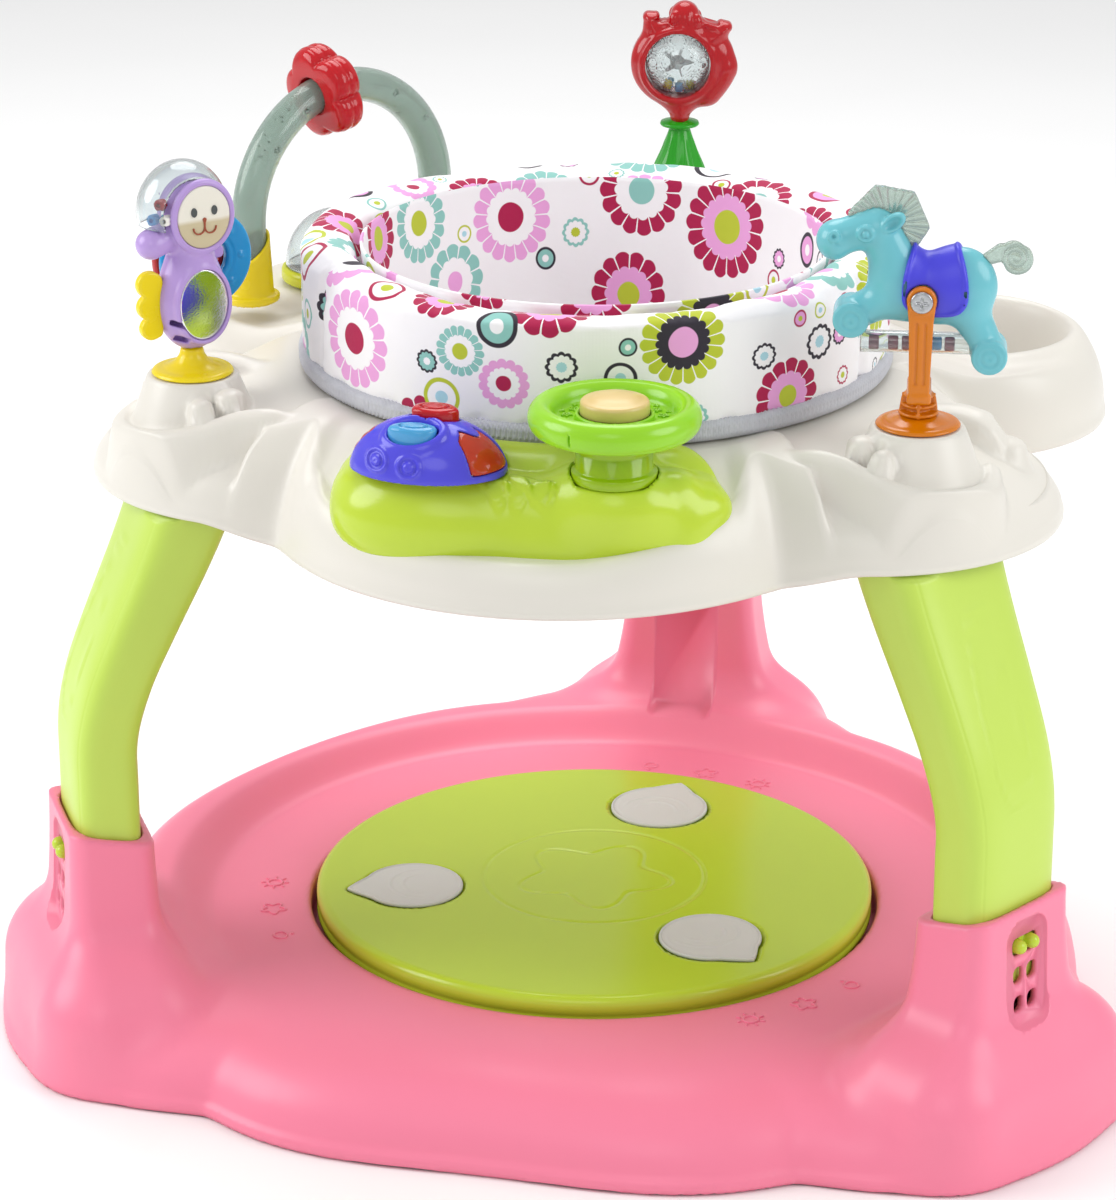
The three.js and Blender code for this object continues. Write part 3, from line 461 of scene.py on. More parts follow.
BLUE_CLEAR = tinted("blue_clear", "58B6EC", 0.06, 0.3)
NECK_GREEN = tinted("neck_green", "98BA12", 0.08, 0.08)
MIRROR = metal("mirror_film", "E4E6E4", 0.05)


def pick(s, chance, codes):
    """One of several printed colours, by a number from 0 to 1."""
    node = s.nodes.new("ShaderNodeValToRGB")
    ramp = node.color_ramp
    ramp.interpolation = "CONSTANT"
    while len(ramp.elements) < len(codes):
        ramp.elements.new(0.5)
    for i, code in enumerate(codes):
        ramp.elements[i].position = i / len(codes)
        ramp.elements[i].color = linear(code) + [1]
    s.links.new(chance, node.inputs[0])
    return node.outputs[0]


def scatter(s, where, scale, uneven):
    """Voronoi cells on the cloth: each cell's middle, its free radius and two chances."""
    settings = {"voronoi_dimensions": "2D"}
    inputs = {"Vector": where, "Scale": scale, "Randomness": uneven}
    middle = s.node("TexVoronoi", inputs, out="Position", feature="F1", **settings)
    chance = s.node("TexVoronoi", inputs, out="Color", feature="F1", **settings)
    free = s.node("TexVoronoi", inputs, out="Radius", feature="N_SPHERE_RADIUS", **settings)
    split = s.nodes.new("ShaderNodeSeparateColor")
    s.links.new(chance, split.inputs[0])
    return middle, s.math("DIVIDE", free, scale), split.outputs[0], split.outputs[1]


def offset_polar(s, where, middle):
    """Distance and direction from a middle, in the print."""
    away = s.node("VectorMath", {0: where, 1: middle}, operation="SUBTRACT")
    split = s.nodes.new("ShaderNodeSeparateXYZ")
    s.links.new(away, split.inputs[0])
    length = s.node("VectorMath", {0: away}, out="Value", operation="LENGTH")
    return length, s.math("ARCTAN2", split.outputs[1], split.outputs[0])


PAPER, PINK_INK, WINE, TEAL_INK, LIME_INK, CHARCOAL, SKY_INK = ("F4F2F4", "E7A3D8", "AC1E4C", "8CC3BB",
                                                                "B9C438", "35303A", "A9D3E0")


def cotton_print():
    """White cotton printed with scalloped flowers, and rings in the room left between them."""
    s = Shader("seat_cotton_print")
    uv = s.coords("UV")
    wobble = s.node("TexNoise", {"Vector": uv, "Scale": 60, "Detail": 1}, out="Color")
    where = s.node("VectorMath",
                   {0: uv, 1: s.node("VectorMath", {0: wobble, "Scale": 0.0012}, operation="SCALE")},
                   operation="ADD")
    cloth = s.mix(s.noise(uv, 14, 3), linear("EFEDEF") + [1], linear("F7F5F7") + [1])

    middle, free, chance, other = scatter(s, where, 12.6, 0.72)
    flower = s.math("MINIMUM", s.math("MULTIPLY", free, 0.97),
                    s.math("ADD", 0.026, s.math("MULTIPLY", other, 0.012)))
    d, angle = offset_polar(s, where, middle)
    petals = s.math("FLOOR", s.math("ADD", 12.5, s.math("MULTIPLY", other, 6)))
    wave = s.math("ABSOLUTE", s.math("COSINE", s.math("MULTIPLY", s.math("MULTIPLY", angle, petals), 0.5)))
    lobe = s.math("POWER", wave, 0.55)
    rim = s.math("MULTIPLY", flower, s.math("ADD", 0.86, s.math("MULTIPLY", lobe, 0.14)))
    inner = s.math("MULTIPLY", flower, s.math("ADD", 0.56, s.math("MULTIPLY", lobe, 0.09)))
    heart = s.math("MULTIPLY", flower, s.math("ADD", 0.27, s.math("MULTIPLY", other, 0.08)))
    soft = 0.0005
    slit = s.math("MULTIPLY", s.math("LESS_THAN", wave, 0.16), s.math("GREATER_THAN", chance, 0.34))
    petal_here = s.math("MULTIPLY", s.math("SUBTRACT", 1, s.step(d, rim, soft)),
                        s.math("SUBTRACT", 1, slit))
    color = s.mix(petal_here, cloth,
                  pick(s, chance, [PINK_INK, PINK_INK, TEAL_INK, WINE, WINE, LIME_INK, PINK_INK, TEAL_INK]))
    color = s.mix(s.math("SUBTRACT", 1, s.step(d, inner, soft)), color,
                  pick(s, chance, [PAPER, PAPER, PAPER, PAPER, PINK_INK, CHARCOAL, PAPER, PAPER]))
    color = s.mix(s.math("SUBTRACT", 1, s.step(d, heart, soft)), color,
                  pick(s, chance, [WINE, CHARCOAL, PINK_INK, TEAL_INK, LIME_INK, PINK_INK, WINE, LIME_INK]))

    for scale, shift, limit in ((22.0, (0.31, 0.17, 0), 0.0155), (31.0, (0.77, 0.53, 0), 0.0105)):
        moved = s.node("VectorMath", {0: where, 1: shift}, operation="ADD")
        centre, room, chance2, other2 = scatter(s, moved, scale, 0.8)
        home = s.node("VectorMath", {0: centre, 1: shift}, operation="SUBTRACT")
        far, free2, _, other3 = scatter(s, home, 12.6, 0.72)
        flower2 = s.math("MINIMUM", s.math("MULTIPLY", free2, 0.97),
                         s.math("ADD", 0.026, s.math("MULTIPLY", other3, 0.012)))
        gap, _ = offset_polar(s, home, far)
        spare = s.math("SUBTRACT", s.math("SUBTRACT", gap, flower2), 0.0012)
        ring = s.math("MINIMUM", s.math("MINIMUM", s.math("MULTIPLY", room, 0.92), spare), limit)
        if scale > 30:
            mid, room3, _, _ = scatter(s, s.node("VectorMath", {0: home, 1: (0.31, 0.17, 0)},
                                                 operation="ADD"), 22.0, 0.8)
            mid = s.node("VectorMath", {0: mid, 1: (0.31, 0.17, 0)}, operation="SUBTRACT")
            off, _ = offset_polar(s, home, mid)
            ring = s.math("MINIMUM", ring, s.math("SUBTRACT", off,
                                                  s.math("ADD", s.math("MINIMUM",
                                                          s.math("MULTIPLY", room3, 0.92), 0.0155), 0.001)))
        shown = s.math("GREATER_THAN", ring, 0.0048)
        d2, angle2 = offset_polar(s, where, home)
        ripple = s.math("ABSOLUTE", s.math("COSINE", s.math("MULTIPLY", angle2, 6)))
        scallop = s.math("MULTIPLY", s.math("GREATER_THAN", other2, 0.62),
                         s.math("MULTIPLY", s.math("SUBTRACT", 1, ripple), 0.13))
        edge = s.math("MULTIPLY", ring, s.math("SUBTRACT", 1, scallop))
        for part, codes in ((1.0, [CHARCOAL, CHARCOAL, WINE, CHARCOAL, LIME_INK, TEAL_INK, WINE]),
                            (0.78, [PAPER, PINK_INK, PAPER, TEAL_INK, PAPER, PAPER, PINK_INK]),
                            (0.34, [SKY_INK, PAPER, LIME_INK, PAPER, SKY_INK, LIME_INK, LIME_INK])):
            here = s.math("SUBTRACT", 1, s.step(d2, s.math("MULTIPLY", edge, part), soft))
            color = s.mix(s.math("MULTIPLY", here, shown), color, pick(s, chance2, codes))
    s.wire(color, s.bsdf.inputs["Base Color"])
    warp = s.node("TexWave", {"Vector": uv, "Scale": 380, "Distortion": 0.6}, bands_direction="X")
    weft = s.node("TexWave", {"Vector": uv, "Scale": 380, "Distortion": 0.6}, bands_direction="Y")
    slub = s.noise(uv, 260, 3)
    s.bump(s.math("ADD", s.math("MULTIPLY", s.math("ADD", warp, weft), 0.5), slub), 0.25, 0.0003)
    s.wire(s.node("MapRange", {"Value": slub, "To Min": 0.78, "To Max": 0.95}), s.bsdf.inputs["Roughness"])
    return s.set(Specular_IOR_Level=0.25, Sheen_Weight=0.15).material


def braid_cloth():
    """The grey cotton of the twisted hem and the bindings."""
    s = Shader("braid_cotton")
    where = s.coords()
    strand = s.node("TexWave", {"Vector": where, "Scale": 420, "Distortion": 2.0}, bands_direction="Z")
    s.wire(s.mix(s.noise(where, 120, 3), linear("B9BAC2") + [1], linear("D2D3D9") + [1]),
           s.bsdf.inputs["Base Color"])
    s.wire(s.node("MapRange", {"Value": strand, "To Min": 0.6, "To Max": 0.8}), s.bsdf.inputs["Roughness"])
    s.bump(strand, 0.3, 0.0003)
    return s.set(Specular_IOR_Level=0.3, Sheen_Weight=0.2).material


COTTON = cotton_print()
BRAID = braid_cloth()


def finish_piece(piece, material, body, nodes=(), slot=None):
    """Gives a piece its material and its body, and hides the CAD nodes that it stands for."""
    piece.data.materials.clear()
    piece.data.materials.append(material)
    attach(piece, body)
    if nodes:
        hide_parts(*nodes)
    return piece


def add_piece(name, field, low, high, step, to_row, material, body, nodes, slot):
    """Moulds a piece and finishes it."""
    return finish_piece(moulded(name, field, low, high, step, to_row), material, body, nodes, slot)


def paint(node, material):
    """A better material on a CAD node that stays."""
    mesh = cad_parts[node].data
    mesh.materials.clear()
    mesh.materials.append(material)


# ---------- floor ----------
def studio_floor():
    """A plain round floor."""
    ring = 96
    points = [(0, 0, 0)]
    rows = [0.6, 1.2, 2.4, 5.0, 9.0]
    for r in rows:
        points += [(r * math.cos(2 * math.pi * i / ring), r * math.sin(2 * math.pi * i / ring), 0)
                   for i in range(ring)]
    faces = [(0, 1 + i, 1 + (i + 1) % ring) for i in range(ring)]
    faces += [(1 + d, 1 + c, 1 + b, 1 + a) for a, b, c, d in grid_faces(len(rows), ring).tolist()]
    floor = new_object("studio_floor", points, faces)
    s = Shader("pale_floor")
    tint = s.noise(s.coords(), 3, 2)
    s.wire(s.mix(tint, (0.93, 0.93, 0.93, 1), (0.96, 0.96, 0.96, 1)), s.bsdf.inputs["Base Color"])
    floor.data.materials.append(s.set(Roughness=0.9, Specular_IOR_Level=0.1).material)


studio_floor()

# ---------- base ----------
LEGS = {"left": 210, "right": 330, "rear": 90}
LEG_RADIUS = 348
TOWER_TOP = {"left": (161, 0.2), "right": (161, 0.2), "rear": (168, -0.12)}
FLOOR_Z, WELL_Z, WELL_RADIUS, BASE_BOTTOM = 58, 34, 199, 1.5


def lobe_edge(degrees, angle, centre, radius):
    """Radius of a round lobe whose middle is off centre, or 0 where a ray misses it."""
    phi = turn(degrees, angle) * DEG
    side = centre * np.sin(phi)
    root = np.sqrt(np.maximum(radius ** 2 - side ** 2, 0))
    return np.where(np.abs(side) > radius, 0, np.maximum(0, centre * np.cos(phi) + root))


def smooth_max(a, b, k):
    """The greater of two radii, with a soft change from one to the other."""
    return (a + b + np.hypot(a - b, k)) / 2


def base_edge(degrees):
    """The base's outline: a wavy ring with a lobe at each leg."""
    r = 332 - 12 * np.cos(6 * turn(degrees, 270) * DEG)
    for angle in LEGS.values():
        r = smooth_max(r, lobe_edge(degrees, angle, 267, 150), 10)
    return r


def base_field(x, y, z):
    """The base: a dish with a well for the pad and a tower at each leg."""
    r, degrees = np.hypot(x, y), np.degrees(np.arctan2(y, x))
    edge = base_edge(degrees)
    off_front = np.abs(turn(degrees, 270))
    back = smooth((off_front - 38) / 34)
    height = FLOOR_Z + 20 * back * smooth((r - 265) / 33)
    start = 236 + 64 * back
    inner_edge = edge - 3
    t = np.clip((r - start) / (inner_edge - start), 0, None)
    w = np.clip(z / height, 0, None)
    p = 2.5
    q = (t ** p + w ** p) ** (1 / p) + 1e-6
    slope = q ** (1 - p) * np.hypot(t ** (p - 1) / (inner_edge - start), w ** (p - 1) / height)
    dish = np.where(t > 0, (q - 1) / np.maximum(slope, 0.004), z - height)
    hem = round_disc(z - 4, r, edge, 5, 2.2)
    dish = smin(dish, np.maximum(hem, edge - 30 - r), 6)
    well = np.maximum(r - WELL_RADIUS, WELL_Z - z)
    dish = smax(dish, -well, 3)
    for name, angle in LEGS.items():
        top, tilt = TOWER_TOP[name]
        c, s = math.cos(angle * DEG), math.sin(angle * DEG)
        u, v = x * c + y * s - LEG_RADIUS, -x * s + y * c
        low = np.clip((top - z) / 105, 0, 1.3)
        across, deep = 49 + 13 * low ** 1.7, 28.6 + 8 * low ** 1.7
        column = round_box(u, v * (49 / across), 0 * z, (0, 0, 0), (28.6, 49, 99),
                           13) + (28.6 - deep) * 0.75
        column = smax(column, z - (top + tilt * u), 2.2)
        bulb = round_box(u, v, z, (0, 0, 0), (60, 104, 84), 46)
        tower = smin(column, bulb, 26)
        dish = smin(dish, tower, 16)
    return smax(dish, BASE_BOTTOM - z, 1.5)


def base_hollow():
    """The space under the base: the outer shape drawn in by the wall's thickness."""
    degrees = np.arange(160) / 160 * 360
    back = smooth((np.abs(turn(degrees, 270)) - 38) / 34)
    edge = base_edge(degrees) - 4
    rows = [(edge * 0 + 1, edge * 0 - 20), (edge, edge * 0 - 20), (edge, edge * 0 + 4)]
    start = 236 + 64 * back

    def crown(r):
        return FLOOR_Z - 4.5 + 20 * back * smooth((r - 265) / 33)

    for t in (0.98, 0.93, 0.85, 0.72, 0.55, 0.35, 0.15):
        r = start + (edge - 7 - start) * t
        rows.append((r, crown(r) * (1 - t ** 2.5) ** 0.4))
    for r in (298, 285, 272, 262):
        r = np.minimum(start, r)
        rows.append((r, crown(r)))
    rows.append((edge * 0 + 203, edge * 0 + FLOOR_Z - 4))
    rows.append((edge * 0 + 203, edge * 0 + WELL_Z - 4))
    rows.append((edge * 0 + 1, edge * 0 + WELL_Z - 4))
    rings = [np.stack([r * np.cos(degrees * DEG), r * np.sin(degrees * DEG), z], 1) for r, z in rows]
    return outward(loft("hollow", rings))


def prism(name, outline, low, high, place_at):
    """A closed bar of the outline (local x, y), from low to high along z, put in place by place_at."""
    n = len(outline)
    rings = [np.column_stack([outline, np.full(n, h)]) for h in (low, high)]
    return outward(loft(name, place_at(np.asarray(rings))))


def stadium(half_long, half_short, radius, count=6):
    """A rounded rectangle outline."""
    points = []
    for cx, cy, start in ((1, 1, 0), (-1, 1, 90), (-1, -1, 180), (1, -1, 270)):
        for i in range(count + 1):
            a = (start + 90 * i / count) * DEG
            points.append((cx * (half_long - radius) + radius * math.cos(a),
                           cy * (half_short - radius) + radius * math.sin(a)))
    return np.array(points)


def build_base():
    """The base, with its hollow, sockets, panels and height slots cut out."""
    base = moulded("base_body", base_field, (-426, -426, -6), (426, 426, 184), 3.0)
    cutters = [base_hollow()]
    for name, angle in LEGS.items():
        def upright(p, angle=angle):
            return at_angle(p + np.array([LEG_RADIUS, 0, 0]), angle)

        def outwards(p, angle=angle):
            return at_angle(np.stack([LEG_RADIUS + p[..., 2], p[..., 0], p[..., 1]], -1), angle)

        def sloped(p, angle=angle, top=TOWER_TOP[name][0], way=1):
            low = np.clip((top - p[..., 1]) / 105, 0, 1.3)
            u = 28.6 + 8 * low ** 1.7 + p[..., 2]
            return at_angle(np.stack([LEG_RADIUS + way * u, way * p[..., 0], p[..., 1]], -1), angle)

        def facing(p, sloped=sloped):
            return sloped(p, way=-1)

        cutters.append(prism("socket", super_outline(24.3, 44.8, 64, 3.6), 40, 230, upright))
        cutters.append(prism("under", super_outline(52, 98, 64, 3), -10, 36, upright))
        if name != "rear":
            outline = stadium(21, 36.5, 13) + np.array([0, 121.5])
            cutters.append(prism("slot_panel", outline, -2.3, 40, sloped))
        else:
            outline = stadium(24, 44, 5) + np.array([0, 118])
            cutters.append(prism("back_panel", outline, -2.2, 40, facing))
        for z in (140, 120, 100):
            for side in (-1, 1) if z < 140 else (0,):
                half = 5.7 if side else 13
                outline = stadium(half, 6.2, 4.5) + np.array([side * 6.9, z])
                cutters.append(prism("slot", outline, 20, 60, outwards))
    carve(base, cutters)
    finish_piece(base, PINK, "base", ["base_shell"], "pink_plastic")
    return base


build_base()

# ---------- foot pad ----------
PAD_RADIUS, PAD_TOP, BUTTON_RING, BUTTON_RADIUS = 195, 70, 128, 35
BUTTONS = {"left": 201, "front": 321, "rear": 81}


def button_edge(degrees, grow=0.0):
    """A foot button's outline: round, with one point."""
    tip = 11 * np.maximum(0, 1 - np.abs(turn(degrees, 0)) / 30) ** 1.5
    return BUTTON_RADIUS + tip + grow


def to_button(x, y, angle):
    """A point seen from the middle of a foot button."""
    c, s = math.cos(angle * DEG), math.sin(angle * DEG)
    u, v = x * c + y * s - BUTTON_RING, -x * s + y * c
    return np.hypot(u, v), np.degrees(np.arctan2(v, u)), u, v


def pad_top(x, y):
    """The pad's top face: a flat crown, an embossed scroll and a sunk pocket for each button."""
    r, degrees = np.hypot(x, y), np.degrees(np.arctan2(y, x))
    z = PAD_TOP - 0.4 * smooth((r - 60) / 120)
    scroll = np.abs(r - 46 - 9 * np.cos(5 * degrees * DEG)) - 1.3
    ring = np.abs(r - 78) - 1.0
    z = z - 0.5 * smooth((0.9 - np.minimum(scroll, ring)) / 1.2)
    for angle in BUTTONS.values():
        d, a, _, _ = to_button(x, y, angle)
        z = z - 4.2 * smooth((button_edge(a, 1.3) - d) / 0.9 + 0.5)
    return z


def build_pad():
    """The foot pad."""
    count = 400
    degrees = np.arange(count) / count * 360
    radii = np.linspace(2, PAD_RADIUS - 6, 170)
    rows = []
    for r in radii:
        x, y = r * np.cos(degrees * DEG), r * np.sin(degrees * DEG)
        rows.append(np.stack([x, y, pad_top(x, y)], 1))
    for inset, z in ((4.2, 69.3), (2.6, 68.5), (1.2, 67.2), (0.3, 65.4), (0, 63), (0.2, 58), (1.4, 56.6),
                     (1.4, 54.8),
                     (0.2, 53.4), (0, 51), (0.8, 50), (4, 50), (4.4, 52), (4.6, 60), (7, 63.2)):
        r = PAD_RADIUS - inset
        rows.append(ring_row(r, degrees, z))
    rows.append(ring_row(2, degrees, 64))
    pad = outward(loft("foot_pad", rows))
    finish_piece(pad, LIME, "pad", ["bounce_pad"], "lime_plastic")


def build_step_button(name, angle):
    """A foot button: leaf outline, embossed arcs and a fine raised edge."""
    count = 160
    degrees = np.arange(count) / count * 360
    edge = button_edge(degrees)
    rows = []
    for k in np.linspace(0.02, 0.955, 44):
        r = edge * k
        x, y = r * np.cos(degrees * DEG), r * np.sin(degrees * DEG)
        side = np.hypot(x + 8, y)
        arc = np.minimum(np.abs(side - 15), np.abs(side - 24))
        z = 71.1 + 0.45 * smooth((1.5 - arc) / 1.2) * smooth((x + 12) / 12) - 0.25 * smooth((k
                - 0.84) / 0.06)
        rows.append(np.stack([x, y, z], 1))
    for inset, z in ((1.6, 71.5), (0.7, 71.35), (0.2, 70.9), (0, 70.2), (0, 68.9), (1, 68.8)):
        r = edge - inset
        rows.append(ring_row(r, degrees, z))
    shift = np.array([BUTTON_RING, 0, 0])
    piece = outward(loft("foot_button_" + name, at_angle(np.asarray(rows) + shift, angle)))
    finish_piece(piece, GREY, "step_button_" + name, ["step_button_" + name], "grey_plastic")


build_pad()
for button, button_angle in BUTTONS.items():
    build_step_button(button, button_angle)

# ---------- legs ----------
LEG_SECTIONS = [(100, 348, 43, 22.5), (200, 348, 43, 22.5), (216, 348, 43, 22.5), (258, 341, 45, 24),
                (300, 328, 47.5, 26),
                (345, 312, 50.5, 28), (388, 296, 53, 29.5)]


def spline(x, xs, ys):
    """Smooth interpolation through a few values."""
    xs, ys = np.asarray(xs, float), np.asarray(ys, float)
    m = np.gradient(ys, xs)
    i = np.clip(np.searchsorted(xs, x) - 1, 0, len(xs) - 2)
    h = xs[i + 1] - xs[i]
    t = np.clip((x - xs[i]) / h, 0, 1)
    return ((2 * t ** 3 - 3 * t ** 2 + 1) * ys[i] + (t ** 3 - 2 * t ** 2 + t) * h * m[i]
            + (3 * t ** 2 - 2 * t ** 3) * ys[i + 1] + (t ** 3 - t ** 2) * h * m[i + 1])


def leaf_line(z, v):
    """Distance from the long leaf-shaped line embossed on a leg's outer side."""
    t = np.clip((z - 232) / 128, 0, 1)
    half = 2 + 15 * np.sin(np.pi * t ** 0.7) ** 0.8
    return np.where((z > 228) & (z < 364), np.abs(np.abs(v + 4) - half), 9)


def build_leg(name, angle):
    """One leg: a curved bar with a leaf line and a seam, cut for the latch."""
    zs, rs, across, deep = [np.array(v, float) for v in zip(*LEG_SECTIONS)]
    count = 176
    levels = np.concatenate([np.linspace(100.5, 170, 12), np.linspace(173, 400, 110)])
    unit = super_outline(1, 1, count, 4.2)
    rows = []
    for z in levels:
        r, a, b = (spline(np.array([z]), zs, q)[0] for q in (rs, across, deep))
        u, v = unit[:, 0] * b, unit[:, 1] * a
        outer = smooth((u / b - 0.75) / 0.2)
        side = smooth((np.abs(v) / a - 0.75) / 0.2)
        push = 0.9 * outer * smooth((1.6 - leaf_line(z, v)) / 1.4)
        groove = -0.5 * smooth((1.1 - np.abs(np.abs(v) - a * 0.83)) / 0.9) * outer
        seam = -0.3 * side * smooth((0.8 - np.abs(u)) / 0.8)
        grow = 1 + (push + groove + seam) / np.hypot(u, v)
        rows.append(np.stack([r + u * grow, v * grow, 0 * u + z], 1))
    rows = at_angle(rows, angle)
    radius, around = np.hypot(rows[..., 0], rows[..., 1]), np.degrees(np.arctan2(rows[..., 1],
            rows[..., 0]))
    edge = tray_edge(around) - 6.2
    lean = 0.42 * np.where(rows[..., 2] > 346, radius - edge, 0).max()
    inside = np.where(rows[..., 2] > 383, edge, 1000)
    shown = np.minimum(radius - lean * smooth((rows[..., 2] - 226) / 150), inside)
    rows[..., :2] *= (shown / radius)[..., None]
    piece = outward(loft("leg_shell_" + name, rows))
    hole = prism("latch_hole", stadium(13.2, 7.6, 4) + np.array([0, 140]), 16, 40,
                 lambda p: at_angle(np.stack([LEG_RADIUS + p[..., 2], p[..., 0], p[..., 1]], -1), angle))
    carve(piece, [hole])
    finish_piece(piece, LEG_LIME, "tray", ["leg_" + name], "lime_plastic")


def build_latch(name, angle):
    """The spring tongue with its two finger buttons."""
    def field(x, y, z):
        c, s = math.cos(angle * DEG), math.sin(angle * DEG)
        u, v, w = x * c + y * s - LEG_RADIUS, -x * s + y * c, z - 140
        pills = np.minimum(capsule(u, v, w, (24, -6.6, 0), (28, -6.6, 0), 5.0, 4.8),
                           capsule(u, v, w, (24, 6.6, 0), (28, 6.6, 0), 5.0, 4.8))
        tongue = round_box(u, v, w, (20.5, 0, 0), (3.4, 10.5, 4.4), 1)
        back = round_box(u, v, w, (16.2, 0, 0), (1.2, 17.5, 11.5), 0.8)
        return smin(smin(pills, tongue, 1), back, 1)

    middle = polar(LEG_RADIUS + 22, angle, 140)
    add_piece("latch_tongue_" + name, field, middle - 26, middle + 26, 0.9, place, LIME, "latch_" + name,
              ["latch_" + name], "lime_plastic")


# ---------- tray ----------
TRAY_HOLE, TRAY_Z, TRAY_WALL = 168, 452, 4
TRAY_LOBES = [(270, 100, 190), (200.5, 208, 129), (339.5, 208, 129), (146, 262, 110), (34, 262, 110),
              (90, 205, 108)]
TOY_RING = 275


def tray_edge(degrees):
    """The tray's lobed outline."""
    r = degrees * 0 + 238.0
    for angle, centre, radius in TRAY_LOBES:
        r = smooth_max(r, lobe_edge(degrees, angle, centre, radius), 8)
    return r


def lip_bottom(degrees):
    """Height of the bottom of the tray's lip."""
    return 372 + 13 * smooth((np.abs(turn(degrees, 270)) - 38) / 10)


def segment_gap(x, y, a, b):
    """Distance from a line between two points, and how far along it each point is."""
    d = (b[0] - a[0], b[1] - a[1])
    t = np.clip(((x - a[0]) * d[0] + (y - a[1]) * d[1]) / (d[0] ** 2 + d[1] ** 2), 0, 1)
    return np.hypot(x - a[0] - t * d[0], y - a[1] - t * d[1]), t


def polyline_height(u, w, points, width):
    """A ridge along a line whose points carry their height: (crest height, distance from it in widths)."""
    best, level = u * 0 + 1e3, u * 0
    for a, b in zip(points[:-1], points[1:]):
        gap, t = segment_gap(u, w, a, b)
        level = np.where(gap < best, a[2] + (b[2] - a[2]) * t, level)
        best = np.minimum(best, gap)
    return level, best / width


SWOOSH = [(-52, 62, 452), (-38, 57, 455), (-21, 50, 453), (0, 46, 447), (18, 41, 442), (32, 32, 439),
          (43, 15, 437),
          (46, -8, 436), (40, -25, 437), (30, -36, 439)]
BACK_RIDGE = [(-62, -54, 449), (-38, -70, 455), (-18, -78, 455), (-4, -82, 450), (4, -88, 438)]
EDGE_BEND = 24


def resampled(points, count=44):
    """The same ridge line drawn with short steps through its points."""
    path = np.array(points, float)
    step = np.concatenate([[0], np.cumsum(np.hypot(*np.diff(path[:, :2], axis=0).T))])
    at = np.linspace(0, step[-1], count)
    return [tuple(p) for p in np.stack([spline(at, step, path[:, i]) for i in range(3)], 1)]


SWOOSH, BACK_RIDGE = resampled(SWOOSH), resampled(BACK_RIDGE)


def lobe_relief(x, y, z, angle, mirror, room):
    """The moulding round a toy plate: the plate's mound, two ridges that sweep round it, and a pocket
    beside a raised band on the side towards the console."""
    c, s = math.cos(angle * DEG), math.sin(angle * DEG)
    u, w = x * c + y * s - TOY_RING, (-x * s + y * c) * mirror
    d = np.hypot(u, w)
    near = smooth((150 - d) / 20)
    crease = (u + 42) * 0.397 - (w - 60) * 0.918
    outer = (u + 66) * 0.604 - (w - 96) * 0.797
    band = smooth((outer + 8) / 16) * smooth((1.5 - crease) / 3) * smooth((u + 100) / 40)
    z = z + near * 6 * band * (1 - 0.6 * smooth((14 - room) / 12))
    reach = np.degrees(np.arctan2(w, u))
    wall = 46 + 18 * smooth((reach - 104) / 26)
    inside = smooth((crease + 1) / 3.5) * smooth((d - wall) / 8) * smooth((u + 52) / 8)
    z = z - near * 12 * inside * (1 - smooth((crease - 8) / 84)) * smooth((room + 2) / 26)
    for ridge, width, k in ((SWOOSH, 6.5, 2.5), (BACK_RIDGE, 11, 4)):
        level, away = polyline_height(u, w, ridge, width)
        crest = level - 4 * away ** 2 - 24 * np.maximum(away - 1.1, 0)
        z = np.where(away < 3, smax(z, crest, k) * smooth(room / 4) + z * (1 - smooth(room / 4)), z)
    mound = 466 - 37 * smooth((d - 27) / 19) - 180 * np.maximum(d / 48 - 1, 0)
    z = np.where(d < 62, smax(z, mound, 4), z)
    z = z + (466 - z) * smooth((31.5 - d) / 3)
    for bu, bw, size, top in ((-17, 33, 10.5, 463), (3, 37, 8.5, 459)):
        gap = np.hypot(u - bu, w - bw)
        bump = top - 7 + 7 * np.sqrt(np.clip(1 - (gap / size) ** 2, 0, 1)) - 300 * np.maximum(gap / size
                - 1, 0)
        z = np.where(gap < size * 1.3, smax(z, bump, 0.8), z)
    return z


def tray_top(x, y):
    """Height of the tray's top face."""
    r, degrees = np.hypot(x, y), np.degrees(np.arctan2(y, x))
    low = lip_bottom(degrees) + 9
    edge = tray_edge(degrees)
    room = edge - 1 - r
    off = np.abs(turn(degrees, 270))
    side = smooth((off - 27) / 13)
    slope = TRAY_Z - (47 - 15 * smooth((off - 8) / 24)) * np.clip((r - 204) / (edge - 228), 0, 1) ** 1.5
    z = slope + (TRAY_Z - 13 * smooth((r - 204) / 58) - slope) * side
    legs = side * (1 - smooth((off - 96) / 8))
    fall = np.clip(1 - room / (13 + 11 * side + 10 * legs + 44 * legs * smooth((off - 58) / 18)), 0, 1)
    round_edge = np.sqrt(np.clip(1 - fall ** 2, 0, 1))
    slope_edge = np.clip(1 - fall ** 1.5, 0, 1) ** 0.72
    z = low + (z - low) * (round_edge + (slope_edge - round_edge) * legs)
    z = lobe_relief(x, y, z, 210, 1, room)
    z = lobe_relief(x, y, z, 330, -1, room)
    px, py, _ = polar(TOY_RING, 90)
    near = np.hypot(x - px, y - py)
    z = z + (460 - z) * smooth((70 - near) / 34) * smooth(room / 8)
    px, py, _ = polar(279, 34)
    near = np.hypot(x - px, y - py)
    z = z + 6 * np.exp(-((near - 73) / 10) ** 2) * smooth(room / 8) - 41 * smooth((70 - near) / 24)
    px, py, _ = polar(276, 146)
    near = np.hypot(x - px, y - py)
    return z + (450 - z) * smooth((72 - near) / 26) * smooth(room / 8)


